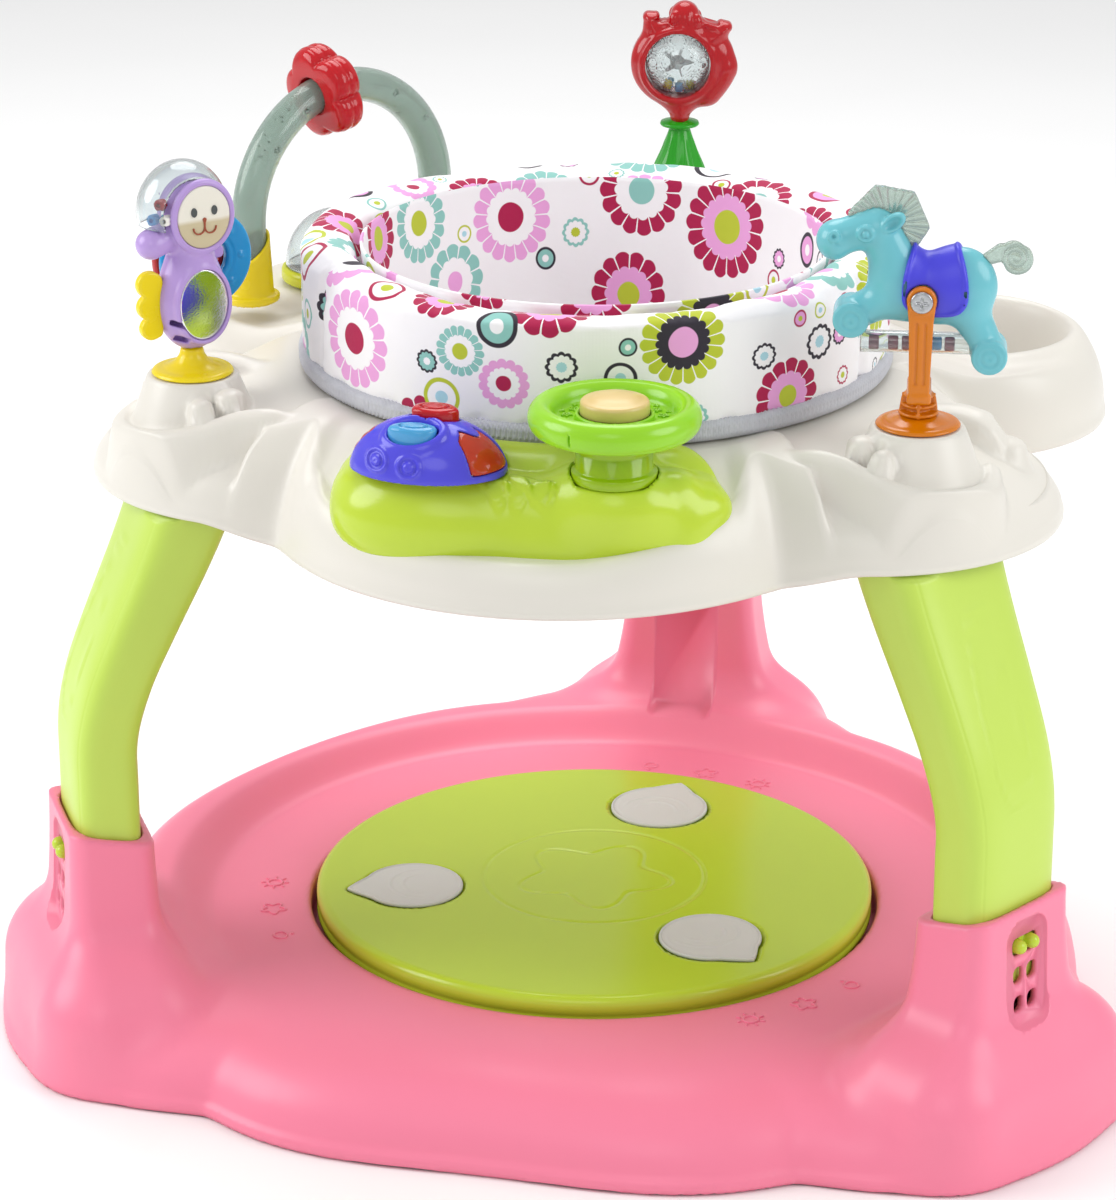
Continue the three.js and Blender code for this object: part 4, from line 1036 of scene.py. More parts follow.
def build_tray():
    """The tray: top face, deep lip and underside in one shell."""
    count = 720
    degrees = np.arange(count) / count * 360
    c, s = np.cos(degrees * DEG), np.sin(degrees * DEG)
    edge, lip = tray_edge(degrees), lip_bottom(degrees)
    rows = [np.stack([TRAY_HOLE * c, TRAY_HOLE * s, 0 * c + TRAY_Z - 4], 1),
            np.stack([TRAY_HOLE * c, TRAY_HOLE * s, 0 * c + TRAY_Z - 1.2], 1),
            np.stack([(TRAY_HOLE + 1) * c, (TRAY_HOLE + 1) * s, 0 * c + TRAY_Z - 0.2], 1)]
    for k in np.concatenate([np.linspace(0, 0.995, 84), 1 + np.sin(np.linspace(0, 0.47, 30) * math.pi)]):
        r = 172 + (edge - EDGE_BEND - 1 - 172) * min(k, 1) + EDGE_BEND * max(k - 1, 0)
        x, y = r * c, r * s
        rows.append(np.stack([x, y, smax(tray_top(x, y), lip + 8, 1.5)], 1))
    for inset, up in ((0.2, 6.4), (-0.4, 5), (-0.4, 2), (0.3, 0.5), (1.6, 0), (4.4, 0), (5, 1), (5, 10),
                      (7, 16), (11, 24)):
        r = edge - inset
        rows.append(np.stack([r * c, r * s, lip + up], 1))
    for k in np.linspace(1, 0, 60):
        r = 172 + (edge - 15 - 172) * k
        x, y = r * c, r * s
        rows.append(np.stack([x, y, tray_top(x, y) - TRAY_WALL - 3 * k], 1))
    tray = outward(loft("toy_tray", rows, closed=True))
    finish_piece(tray, CREAM, "tray", ["tray_shell"], "cream_plastic")


build_tray()
for leg, leg_angle in LEGS.items():
    build_leg(leg, leg_angle)
    build_latch(leg, leg_angle)

# ---------- driving console ----------
WHEEL = (67.0, -243.0)
NECK = (65.5, -237.0)
DOME = {"x": -51.0, "y": -243.0, "z": 450.0, "a": 50.0, "b": 35.0, "c": 34.0}
CONSOLE_TOP, CONSOLE_RING, CONSOLE_HALF_LONG, CONSOLE_HALF_WIDE = 449, 235, 101, 33.5
DRIPS = [((-4, -246), (8, -254), (10, -258)), ((8, -248), (22, -255), (27, -256)),
         ((-12, -252), (-4, -257), (-2, -259))]


def console_field(x, y, z):
    """The cover: a low cushion with round ends on the tray, swollen round the dome and the wheel's neck."""
    r, degrees = np.hypot(x, y), np.degrees(np.arctan2(y, x))
    along = turn(degrees, 271.4) * DEG * 252
    t = np.hypot(np.maximum(np.abs(along) - CONSOLE_HALF_LONG, 0), r - CONSOLE_RING) / CONSOLE_HALF_WIDE
    deck = tray_top(x, y)
    tall = np.maximum(CONSOLE_TOP - deck, 12)
    h = np.maximum(z - deck, 0) / tall
    q = (t ** 2.4 + h ** 2.4) ** (1 / 2.4) + 1e-6
    slope = q ** -1.4 * np.hypot(t ** 1.4 / CONSOLE_HALF_WIDE, h ** 1.4 / tall)
    body = (q - 1) / np.maximum(slope, 0.012)
    swell = ellipsoid(x, y, z, (DOME["x"] - 2, DOME["y"] + 3, 418), (60, 38, 38))
    body = smin(body, swell, 14)
    neck_gap = np.hypot(x - NECK[0], y - NECK[1])
    mount = ellipsoid(x, y, z, (NECK[0] - 2, NECK[1] + 3, 434), (43, 33, 29))
    body = smin(body, mount, 10)
    for px, py, pz, rx, rz in ((NECK[0] + 33, -222, 437, 20, 17), (NECK[0] + 49, -212, 426, 20, 17)):
        body = smin(body, ellipsoid(x, y, z, (px, py, pz), (rx, rx, rz)), 4)
    for path in DRIPS:
        for a, b in zip(path[:-1], path[1:]):
            gap, _ = segment_gap(x, y, a, b)
            drip = np.maximum(np.maximum(gap - 6, body - 1.0), 432 - z)
            body = np.where((gap < 12) & (z > 425), smin(body, drip, 1.2), body)
    seat = np.sqrt(((x - DOME["x"]) / (DOME["a"] + 1)) ** 2 + ((y - DOME["y"]) / (DOME["b"] + 1)) ** 2) - 1
    body = smax(body, -np.maximum(seat * 40, 449.6 - z), 1.2)
    neck = np.maximum(neck_gap - np.where(z > 457.8, 24.8, 27.4), 449.8 - z)
    body = smax(body, -neck, 0.8)
    body = np.maximum(body, 199.5 - r)
    return np.maximum(body, deck - 2.6 - z)


console = moulded("console_cover", console_field, (-146, -292, 392), (146, -186, 472), 1.5)
finish_piece(console, LIME, "tray", ["console_shell"], "lime_plastic")

# ---------- seat ----------
SEAT_RADIUS = 178.0
PANELS = (216, 345)


def turns(x, y, origin):
    """Degrees round from a starting direction, 0 to 360."""
    return (np.degrees(np.arctan2(y, x)) - origin) % 360


def print_uv(piece, arc, radius, to_pad):
    """Lays the printed cotton on a seat piece in real metres, one panel between each pair of seams."""
    mesh = piece.data
    count = len(mesh.loops)
    index = np.empty(count, int)
    mesh.loops.foreach_get("vertex_index", index)
    point = np.empty(len(mesh.vertices) * 3)
    mesh.vertices.foreach_get("co", point)
    point = to_pad(point.reshape(-1, 3))
    start, total = np.empty(len(mesh.polygons), int), np.empty(len(mesh.polygons), int)
    mesh.polygons.foreach_get("loop_start", start)
    mesh.polygons.foreach_get("loop_total", total)
    face = np.repeat(np.arange(len(start)), total)
    corner = point[index]
    middle = np.stack([np.bincount(face, corner[:, k]) / total for k in range(2)], 1)
    around = turns(middle[:, 0], middle[:, 1], PANELS[0])
    second = around > (PANELS[1] - PANELS[0])
    here = turns(corner[:, 0], corner[:, 1], PANELS[0])
    here = here + 360 * (here - around[face] < -180) - 360 * (here - around[face] > 180)
    u = here * DEG * radius + np.where(second[face], 460.0, 0.0)
    v = arc(np.hypot(corner[:, 0], corner[:, 1]), corner[:, 2])
    layer = mesh.uv_layers.new(name="print")
    layer.data.foreach_set("uv", np.stack([u, v], 1).ravel() / 1000)
    return piece


def row_to_pad(points):
    """Row-frame points in pad-centred millimetres."""
    return (points - CENTRE) * 1000 if np.abs(points).max() < 5 else points


def collar_arc(r, z):
    """How far over the collar's section a point is, from the hem up the outside and down the inside."""
    over = np.arctan2(np.maximum(z - 522, 0), r - SEAT_RADIUS)
    return np.where(z > 522, 56 + 17 * over, np.where(r > SEAT_RADIUS, z - 466, 109.4 + 522 - z))


def collar_field(x, y, z):
    """The collar's section, taken round the seat."""
    r = np.hypot(x, y)
    lean = SEAT_RADIUS - 2 + 2.5 * (1 - np.clip((z - 466) / 74, 0, 1)) * 1.4
    return smax(round_box(r - lean, 0 * r, z, (0, 0, 496.5), (15.4, 30, 42.6), 13), 461.6 - z, 2)


def inflate(piece, pinned, pressure, cap, frames=20, grow=0.0):
    """Fills a closed cloth piece with soft stuffing: a short cloth run, every move held under the cap."""
    mesh = piece.data
    start = np.empty(len(mesh.vertices) * 3)
    mesh.vertices.foreach_get("co", start)
    group = piece.vertex_groups.new(name="held")
    group.add(np.flatnonzero(pinned).tolist(), 1.0, "REPLACE")
    mod = piece.modifiers.new("stuffing", "CLOTH")
    cloth = mod.settings
    cloth.quality = 5
    cloth.mass = 0.15
    cloth.tension_stiffness = cloth.compression_stiffness = 12
    cloth.shear_stiffness = 4
    cloth.bending_stiffness = 0.15
    cloth.use_pressure = pressure > 0
    cloth.uniform_pressure_force = pressure
    cloth.shrink_min = -grow
    cloth.vertex_group_mass = "held"
    cloth.effector_weights.gravity = 0
    mod.collision_settings.use_collision = False
    mod.point_cache.frame_start, mod.point_cache.frame_end = 1, frames
    for f in range(1, frames + 1):
        scene.frame_set(f)
    shown = piece.evaluated_get(bpy.context.evaluated_depsgraph_get())
    end = np.empty(len(mesh.vertices) * 3)
    shown.data.vertices.foreach_get("co", end)
    piece.modifiers.clear()
    scene.frame_set(1)
    move = (end - start).reshape(-1, 3)
    size = np.linalg.norm(move, axis=1, keepdims=True)
    move = move * np.minimum(1, cap / np.maximum(size, 1e-9))
    mesh.vertices.foreach_set("co", (start.reshape(-1, 3) + move).ravel())
    mesh.update()
    piece.vertex_groups.clear()
    return piece


def subdivide(piece, levels=1):
    """A finer, smoother mesh."""
    mod = piece.modifiers.new("smooth", "SUBSURF")
    mod.levels = mod.render_levels = levels
    return apply_modifiers(piece)


def build_collar():
    """The padded collar: a moulded ring, stuffed as cloth and printed."""
    piece = moulded("seat_collar_pad", collar_field, (-200, -200, 458), (200, 200, 546), 5.2)
    mesh = piece.data
    point = np.empty(len(mesh.vertices) * 3)
    mesh.vertices.foreach_get("co", point)
    pad = row_to_pad(point.reshape(-1, 3))
    around = np.degrees(np.arctan2(pad[:, 1], pad[:, 0]))
    seam = np.min([np.abs(turn(around, p)) for p in PANELS], axis=0) * DEG * SEAT_RADIUS
    held = (seam < 3) | (pad[:, 2] < 467)
    inflate(piece, held, 4.0, 0.006, grow=0.035)
    subdivide(piece)
    mesh = piece.data
    point = np.empty(len(mesh.vertices) * 3)
    mesh.vertices.foreach_get("co", point)
    pad = row_to_pad(point.reshape(-1, 3))
    around = np.degrees(np.arctan2(pad[:, 1], pad[:, 0]))
    seam = np.min([np.abs(turn(around, p)) for p in PANELS], axis=0) * DEG * SEAT_RADIUS
    r = np.hypot(pad[:, 0], pad[:, 1])
    centre = np.stack([pad[:, 0] / r * SEAT_RADIUS, pad[:, 1] / r * SEAT_RADIUS,
                       np.clip(pad[:, 2], 480, 525)], 1)
    away = pad - centre
    length = np.linalg.norm(away, axis=1)
    lines = np.sin(around * DEG * 31 + 1.3 * np.sin(around * DEG * 7) + pad[:, 2] * 0.05)
    hem = smooth((486 - pad[:, 2]) / 18)
    crest = smooth((pad[:, 2] - 526) / 12)
    puckers = -1.3 * hem * np.maximum(lines, 0) - 0.7 * crest * np.maximum(-lines, 0)
    dip = -2.6 * smooth((7 - seam) / 7) ** 2 + puckers
    pad = pad + away / length[:, None] * dip[:, None]
    outside = np.maximum(np.hypot(pad[:, 0], pad[:, 1]) - 196, 0)
    pad[:, :2] *= (1 - outside / np.hypot(pad[:, 0], pad[:, 1]))[:, None]
    mesh.vertices.foreach_set("co", place(pad).ravel())
    mesh.update()
    print_uv(piece, collar_arc, 190, row_to_pad)
    finish_piece(piece, COTTON, "seat", ["seat_collar"], "seat_cotton")
    return piece


SLING = [(157, 534), (155.5, 520), (152, 480), (149.5, 440), (143, 400), (133, 368), (117, 336), (96, 314),
         (62, 302), (20, 299), (0.5, 298.6)]
HOLES = [(-1, -66), (1, 66)]


def sling_shape(t):
    """Radius, height and front-to-back squash of the seat bag, from its top edge (0) to its floor (1)."""
    r, z = np.array(SLING, float).T
    length = np.concatenate([[0], np.cumsum(np.hypot(np.diff(r), np.diff(z)))])
    at = t * length[-1]
    return spline(at, length, r), spline(at, length,
                                         z), 1 - 0.14 * smooth((520 - np.interp(at, length, z)) / 220)


def leg_hole(x, y, z, side, x0):
    """Distance from the axis of a leg opening."""
    tilt, spin = math.pi / 2 - 0.5, side * 0.55
    axis = np.array([0, math.cos(tilt), math.sin(tilt)])
    axis = np.array([-axis[1] * math.sin(spin), axis[1] * math.cos(spin), axis[2]])
    p = np.stack([x - x0, y + 100, z - 344], -1)
    flat = p - (p @ axis)[..., None] * axis
    return np.linalg.norm(flat, axis=-1), axis


def build_sling():
    """The hanging seat bag with its two leg holes."""
    count = 240
    degrees = np.arange(count) / count * 360
    rows = []
    levels = np.linspace(0, 1, 96)
    for side in (0, 1):
        for t in levels if side == 0 else levels[::-1]:
            r, z, squash = sling_shape(np.array([t]))
            fold = smooth((t - 0.1) / 0.3) * (1 - smooth((t - 0.72) / 0.2))
            wave = 2.4 * fold * np.sin(degrees * DEG * 14 + 1.1 * np.sin(degrees * DEG * 5) + t * 3)
            radius = r[0] + wave - side * 1.7
            rows.append(np.stack([radius * np.cos(degrees * DEG),
                                  radius * np.sin(degrees * DEG) * squash[0],
                                  0 * degrees + z[0] + side * (0.6 + 1.1 * smooth((t - 0.5) / 0.3))], 1))
    piece = outward(loft("seat_bag", rows, closed=True))
    cutters = []
    for side, x0 in HOLES:
        _, axis = leg_hole(np.zeros(1), np.zeros(1), np.zeros(1), side, x0)
        middle = np.array([x0, -100, 344])
        ring = np.cross(axis, [0, 0, 1.0])
        ring /= np.linalg.norm(ring)
        other = np.cross(axis, ring)
        circle = [middle + 42 * (ring * math.cos(a) + other * math.sin(a))
                  for a in np.linspace(0, 2 * math.pi, 65)[:-1]]
        cutter = loft("leg_cut", [np.array(circle) + axis * k for k in (-70, 70)])
        cutters.append(outward(cutter))
    carve(piece, cutters)
    print_uv(piece, lambda r, z: 109.4 + 522 - z, 165, row_to_pad)
    finish_piece(piece, COTTON, "seat", ["seat_sling"], "seat_cotton")
    return piece


def hole_binding(side, x0):
    """The binding round one leg hole."""
    levels = np.linspace(0, 1, 60)
    r, z, squash = sling_shape(levels)
    line = np.stack([r, z], 1)

    def field(x, y, zz):
        t = np.interp(-zz, -z, levels)
        q = np.interp(t, levels, squash)
        rho = np.hypot(x, y / q)
        best = rho * 0 + 1e3
        for a, b in zip(line[:-1:2], line[1::2]):
            b = b + (b - a)
            gap, _ = segment_gap(rho, zz, a, b)
            best = np.minimum(best, gap)
        away, _ = leg_hole(x, y, zz, side, x0)
        return np.sqrt(best ** 2 + ((away - 43) / 1.6) ** 2) - 2.6

    low, high = np.array([x0 - 70, -160, 290]), np.array([x0 + 70, -30, 410])
    return add_piece("leg_binding_" + ("left" if side < 0 else "right"), field, low, high, 1.7, place,
                     BRAID,
              "seat", [], "seat_cotton")


def build_hem():
    """The braided hem: two rows of slanted strands round a flattened cord."""
    columns, around = 2760, 22
    s = np.arange(columns) / columns * 2 * math.pi
    rows = []
    for j in range(around):
        a = j / around * 2 * math.pi
        slant = abs((j / around * 2 + 0.5) % 1 - 0.5) * 2
        strand = np.abs(np.sin(170 * s + math.pi * 2.2 * slant * (1 if math.cos(a) > 0 else -1)))
        groove = 1 - 0.5 * math.exp(-(math.sin(a) / 0.16) ** 2)
        swell = (0.75 * strand ** 0.6 + 0.25) * groove
        r = 194.4 + (2.5 + 2.3 * swell) * math.cos(a)
        z = 460.6 + (4.9 + 2.3 * swell) * math.sin(a)
        rows.append(np.stack([r * np.cos(s), r * np.sin(s), z], 1))
    piece = outward(loft("seat_hem", rows, closed=True))
    finish_piece(piece, BRAID, "seat", [], "seat_cotton")


def build_seat_ring():
    """The ring and the track that the seat turns on."""
    degrees = np.arange(240) / 240 * 360
    profiles = {
        "seat_ring": [(160, 444.5), (160.5, 444), (164.5, 444), (165, 444.5), (166, 456.6), (166.8, 457.4),
                      (188, 457.4), (188.6, 458),
                      (188.6, 462), (188, 462.6), (160.8, 463), (160, 462.4)],
        "seat_track": [(172, 452.5), (172.4, 452.3), (188, 452.3), (188.4, 452.6), (188.4, 455.8),
                       (187.8, 456.5), (172.6, 456.5), (172, 456)]}
    for name, profile in profiles.items():
        rows = [ring_row(r, degrees, z) for r, z in profile]
        piece = outward(loft(name + "_moulding", rows, closed=True))
        finish_piece(piece, WHITE, "seat" if name == "seat_ring" else "tray", [name], "white_plastic")


collar = build_collar()
sling = build_sling()
bindings = [hole_binding(side, x0) for side, x0 in HOLES]
build_hem()
build_seat_ring()

# ---------- toys: shared helpers ----------
def toy_frame(origin, degrees):
    """Local toy millimetres into the row frame: a turn about +Z, then a shift."""
    c, s = math.cos(degrees * DEG), math.sin(degrees * DEG)

    def to_row(points):
        p = np.asarray(points, float)
        return place(np.stack([p[..., 0] * c - p[..., 1] * s, p[..., 0] * s + p[..., 1] * c, p[..., 2]],
                              -1) + origin)
    return to_row


def lathe(name, profile, to_row=place, centre=(0, 0), count=128, ripple=None):
    """A turned piece from (radius, height) pairs; it closes itself on the axis."""
    a = np.arange(count) / count * 2 * math.pi
    rows = []
    for r, z in profile:
        r = max(r, 0.02)
        k = r * (1 + (ripple(a, r, z) if ripple else 0))
        rows.append(np.stack([centre[0] + k * np.cos(a), centre[1] + k * np.sin(a), 0 * a + z], 1))
    return outward(loft(name, rows, to_row=to_row))


def curve_profile(points, count=8):
    """A smooth profile through a few (radius, height) pairs."""
    points = np.asarray(points, float)
    length = np.concatenate([[0], np.cumsum(np.hypot(*np.diff(points, axis=0).T))])
    at = np.linspace(0, length[-1], count * (len(points) - 1) + 1)
    return list(zip(spline(at, length, points[:, 0]), spline(at, length, points[:, 1])))


def slab(y, flat, half, edge):
    """A flat shape, given as a distance in X-Z, made thick along Y with a rounded edge."""
    a, b = flat + edge, np.abs(y) - half + edge
    return np.minimum(np.maximum(a, b), 0) + np.hypot(np.maximum(a, 0), np.maximum(b, 0)) - edge


def disc_y(x, y, z, centre, radius, half, edge):
    """A round disc whose axis is Y."""
    flat = np.hypot(x - centre[0], z - centre[2]) - radius
    return slab(y - centre[1], flat, half, edge)


def ring_y(x, y, z, centre, radius, tube, wide=1.0):
    """A ring of wire round the Y axis, `wide` times as wide as it is high."""
    across = np.hypot((x - centre[0]) / wide, z - centre[2]) - radius
    return np.hypot(across, y - centre[1]) - tube


def hull_flat(x, z, circles):
    """Distance in X-Z from a chain of circles joined by straight cones."""
    best = x * 0 + 1e3
    for (ax, az, ar), (bx, bz, br) in zip(circles[:-1], circles[1:]):
        d2 = (bx - ax) ** 2 + (bz - az) ** 2
        t = np.clip(((x - ax) * (bx - ax) + (z - az) * (bz - az)) / d2, 0, 1)
        best = np.minimum(best, np.hypot(x - ax - t * (bx - ax), z - az - t * (bz - az)) - ar
                          - t * (br - ar))
    return best


# ---------- steering wheel ----------
WHEEL_FRAME = toy_frame(np.array([WHEEL[0], WHEEL[1], 0.0]), 0)


def build_wheel():
    """The steering wheel, its neck and the horn button."""
    neck = lathe("steering_neck", [(0, 450.6), (26.2, 450.6), (26.8, 451.2), (26.8, 456), (26.2, 457),
                                   (24.6, 457.6), (24, 458.4),
                                   (24, 468), (23.2, 468.8), (23.2, 470.4), (24, 471.2), (24, 483),
                                   (0, 483)], WHEEL_FRAME,
                 centre=(NECK[0] - WHEEL[0], NECK[1] - WHEEL[1]))
    finish_piece(neck, NECK_GREEN, "tray", ["wheel_neck"], "green_plastic")

    def field(x, y, z):
        r = np.hypot(x, y)
        angle = np.arctan2(y, x)
        rim = np.hypot((r - 45.6) / 1.0, (z - 492.5) * 0.82) - 7.9
        bowl = round_disc(z - 487.6, r, 40, 3.4, 1.5)
        body = smin(rim, bowl, 4)
        hub = np.maximum(np.maximum(22.2 - r, r - 24.4), np.abs(z - 491) - 4.4)
        body = smin(body, hub, 0.8)
        notch = round_box((angle + 1.9) * 50, r - 53.5, z - 491, (0, 0, 0), (0.6, 3, 4), 0.5)
        return smax(body, -notch, 0.6)

    wheel = moulded("steering_rim", field, (-55.5, -55.5, 481.5), (55.5, 55.5, 503.5), 1.1, WHEEL_FRAME)
    finish_piece(wheel, GREEN, "wheel", ["steering_wheel"], "green_plastic")
    blossoms = []
    for i in range(16):
        a = i / 16 * 2 * math.pi
        for r, size in ((30.2, 3.6), (36.6, 2.6)):
            b = a + (0.2 if r > 35 else 0)
            blossoms.append((r * math.cos(b), r * math.sin(b), size))

    def flowers(x, y, z):
        best = x * 0 + 1e3
        for cx, cy, size in blossoms:
            dx, dy = x - cx, y - cy
            r, angle = np.hypot(dx, dy), np.arctan2(dy, dx)
            petal = np.hypot(r - size * 0.62 - 0.25 * size * np.cos(5 * angle), z - 491.4) - 0.8
            dot = np.hypot(r, z - 491.4) - 0.8
            best = np.minimum(best, np.minimum(petal, dot))
        return best

    lace = moulded("wheel_blossoms", flowers, (-42, -42, 489.8), (42, 42, 493), 0.55, WHEEL_FRAME)
    finish_piece(lace, GREEN, "wheel", [], "green_plastic")
    horn = lathe("horn_cap", [(0, 494.7), (20.8, 494.7), (21.6, 495.4), (21.4, 501)]
                 + [(21.4 - 2.2 * (1 - math.cos(t)), 501 + 2.6 * math.sin(t))
                    for t in np.linspace(0.2, 1.45, 7)]
                 + [(17.8, 503.9), (16.6, 504.2), (14.8, 505.2), (10, 506.2), (5, 506.8), (0, 507)],
                 WHEEL_FRAME)
    finish_piece(horn, PEACH, "horn", ["horn_button"], "peach_plastic")


build_wheel()

# ---------- light dome ----------
DOME_FRAME = toy_frame(np.array([DOME["x"], DOME["y"], DOME["z"]]), 0)
CAPS = {"red": (3, 5, 15.5, 10.5, 38.6), "blue": (-5, -16.5, 15.5, 9, 32.2)}


def dome_ball(x, y, z, inset=0.0):
    """The light dome's outer shape, drawn in by an inset."""
    return ellipsoid(x, y, z, (0, 0, 0), (DOME["a"] - inset, DOME["b"] - inset, DOME["c"] - inset))


def dome_window(x, y, z, name):
    """Distance from the window's outline: a band with wavy ends on the dome's side."""
    angle = np.degrees(np.arctan2(y / DOME["b"], x / DOME["a"]))
    middle, half = {"left": (167, 25), "right": (-19, 27)}[name]
    side = (np.abs(turn(angle, middle)) - half) * DEG * 42
    top = z - 26 - 2 * np.sin(angle * DEG * 9)
    return smax(smax(side, top, 3), 5.0 - z, 3)


def dome_field(x, y, z):
    """The dome's shell, with openings for its windows and buttons."""
    shell = np.maximum(dome_ball(x, y, z), -dome_ball(x, y, z, 4.5))
    shell = np.maximum(shell, 0.4 - z)
    for name in ("left", "right"):
        shell = smax(shell, -(dome_window(x, y, z, name) - 0.4), 0.7)
    for ex, ey, ez in ((-26, -26, 12.5), (-4, -32, 11)):
        away = np.sqrt((x - ex) ** 2 + (y - ey) ** 2 + (z - ez) ** 2)
        for radius, tube in ((7.0, 1.2), (1.6, 2.0)):
            across = np.hypot(x - ex, (z - ez) * 1.1) - radius
            bead = np.hypot(across, dome_ball(x, y, z) - 0.2) - tube
            shell = np.where(away < 16, smin(shell, bead, 1.2), shell)
    bx, by, rx, ry, _ = CAPS["blue"]
    lip = np.hypot((np.hypot((x - bx) / (rx + 3.4), (y - by) / (ry + 3.0)) - 1) * 13,
                   dome_ball(x, y, z) - 0.2) - 1.9
    shell = np.where(z > 15, smin(shell, lip, 1.5), shell)
    for cx, cy, ax, ay, _ in CAPS.values():
        well = (np.hypot((x - cx) / (ax + 0.6), (y - cy) / (ay + 0.6)) - 1) * 11
        shell = np.where(z > 14, smax(shell, -well, 0.6), shell)
    return shell


def build_dome():
    """The light dome, its windows, buttons and reflector."""
    low, high = (-56, -40, -1), (56, 40, 39)
    shell = moulded("dome_shell", dome_field, low, high, 1.0, DOME_FRAME)
    finish_piece(shell, VIOLET, "tray", ["light_dome"], "violet_plastic")
    for name, material, slot in (("left", RED_CLEAR, "red_clear_plastic"),
                                 ("right", ORANGE_CLEAR, "orange_clear_plastic")):
        def pane(x, y, z, name=name):
            wave = 0.5 * np.sin(x * 0.5 + z * 0.7)
            skin = np.maximum(dome_ball(x, y, z, 0.4 + wave * 0.4), -dome_ball(x, y, z, 4.0))
            return smax(skin, dome_window(x, y, z, name) + 0.1, 0.8)
        add_piece("window_" + name, pane, low, high, 1.0, DOME_FRAME, material, "tray",
                  ["dome_window_" + name], slot)
    for name, (cx, cy, rx, ry, top) in CAPS.items():
        def cap(x, y, z, cx=cx, cy=cy, rx=rx, ry=ry, top=top, name=name):
            u, v = (x - cx) / rx, (y - cy) / ry
            angle = np.arctan2(v, u)
            edge = 1 - (0.07 * np.abs(np.sin(angle * 2.5)) if name == "red" else 0.05 * np.cos(3 * angle))
            side = (np.hypot(u, v) - edge) * (rx + ry) / 2
            crown = z - (top + 3.2 * np.sqrt(np.clip(1.1 - u ** 2 - v ** 2, 0, 1)) - 2)
            body = smax(side, crown, 2.2)
            heart = np.abs((np.hypot(u, v) - 0.55) * 10) - 0.5
            body = smax(body, -np.maximum(heart, top - 0.6 - z), 0.8)
            return np.maximum(body, top - 11.5 - z)
        piece = moulded("dome_cap_" + name, cap, (cx - 18, cy - 13, top - 13), (cx + 18, cy + 13, top + 4),
                        0.75, DOME_FRAME)
        material, slot = (RED_CLEAR, "red_clear_plastic") if name == "red" else (BLUE_CLEAR,
                "blue_clear_plastic")
        finish_piece(piece, material, name + "_button", ["dome_button_" + name], slot)

    def reflector(x, y, z):
        return np.maximum(np.maximum(dome_ball(x, y, z, 9), 1.5 - z), z - 16)

    add_piece("dome_reflector", reflector, low, (56, 40, 30), 2.0, DOME_FRAME, WHITE, "tray", [],
              "white_plastic")


build_dome()

# ---------- spinning sea creature on the left lobe ----------
SEA, SEA_SIZE = toy_frame(polar(TOY_RING, 210, 466.4), 45), 0.93


def sea_local(x, z):
    """The creature is modelled a little larger than it is; its middle line stays on the stand."""
    return (x - 1) / SEA_SIZE, (z - 14) / SEA_SIZE + 17


def sea_body(x, y, z):
    """The sea creature's body."""
    px, pz = x, z
    x, z = sea_local(x, z)
    torso = ellipsoid(x, y, z, (0, 0, 54), (26.5, 18.5, 35))
    neck = capsule(x, y, z, (0, 1, 78), (1, 0, 104), 15, 16)
    head = ellipsoid(x, y, z, (3, 1, 117), (25, 18, 27))
    body = smin(smin(torso, neck, 12), head, 9)
    snout = capsule(x, y, z, (-18, 0, 103), (-31, -2, 99), 11, 10.5)
    snout = smax(snout, -ring_y(y, x + 27, z, (-2, 0, 99.5), 11.6, 1.2), 0.8)
    body = smin(body, snout, 4)
    face_rim = np.hypot(np.hypot((x - 3) / 21.6, (z - 117) / 23.6) * 22.6 - 22.6, y + 13.5) - 3.0
    mirror_rim = np.hypot(np.hypot((x - 2) / 20, (z - 54) / 26.4) * 23 - 23, y + 13.2) - 2.2
    body = smin(smin(body, face_rim, 2.5), mirror_rim, 3)
    arm = capsule(px, y, pz, (10, 10, 76), (24, 14, 76), 7, 5.5)
    peg = np.maximum(np.hypot(px - 24, pz - 76) - 4.5, np.abs(y - 24) - 18)
    cap = disc_y(px, y, pz, (24, 43.5, 76), 8, 1.6, 1.2)
    body = np.minimum(smin(body, smin(arm, peg, 2), 3), smin(cap, peg, 1))
    face = np.maximum(np.hypot((x - 3) / 20.2, (z - 117) / 22.2) * 21.2 - 21.2, y + 12.8)
    belly = np.maximum(np.hypot((x - 2) / 19.0, (z - 54) / 25.6) * 22 - 22, y + 12.0)
    body = smax(smax(body, -face, 0.8), -belly, 0.8)
    for fx, fz in ((-17, 42), (-13, 30)):
        slot = round_box(x - fx, y + 8, (z - fz) + 0.3 * (x - fx), (0, 0, 0), (4.5, 8, 2.2), 1)
        body = smax(body, -slot, 0.8)
    return smax(body * SEA_SIZE, -np.maximum(np.hypot(px, y) - 5.6, pz - 38), 0.5)


def head_shell(x, y, z, inset=0.0):
    """The shape of the creature's clear head."""
    return ellipsoid(x, y, z, (-2, 4, 108.5), (30.5 - inset, 25 - inset, 33 - inset))


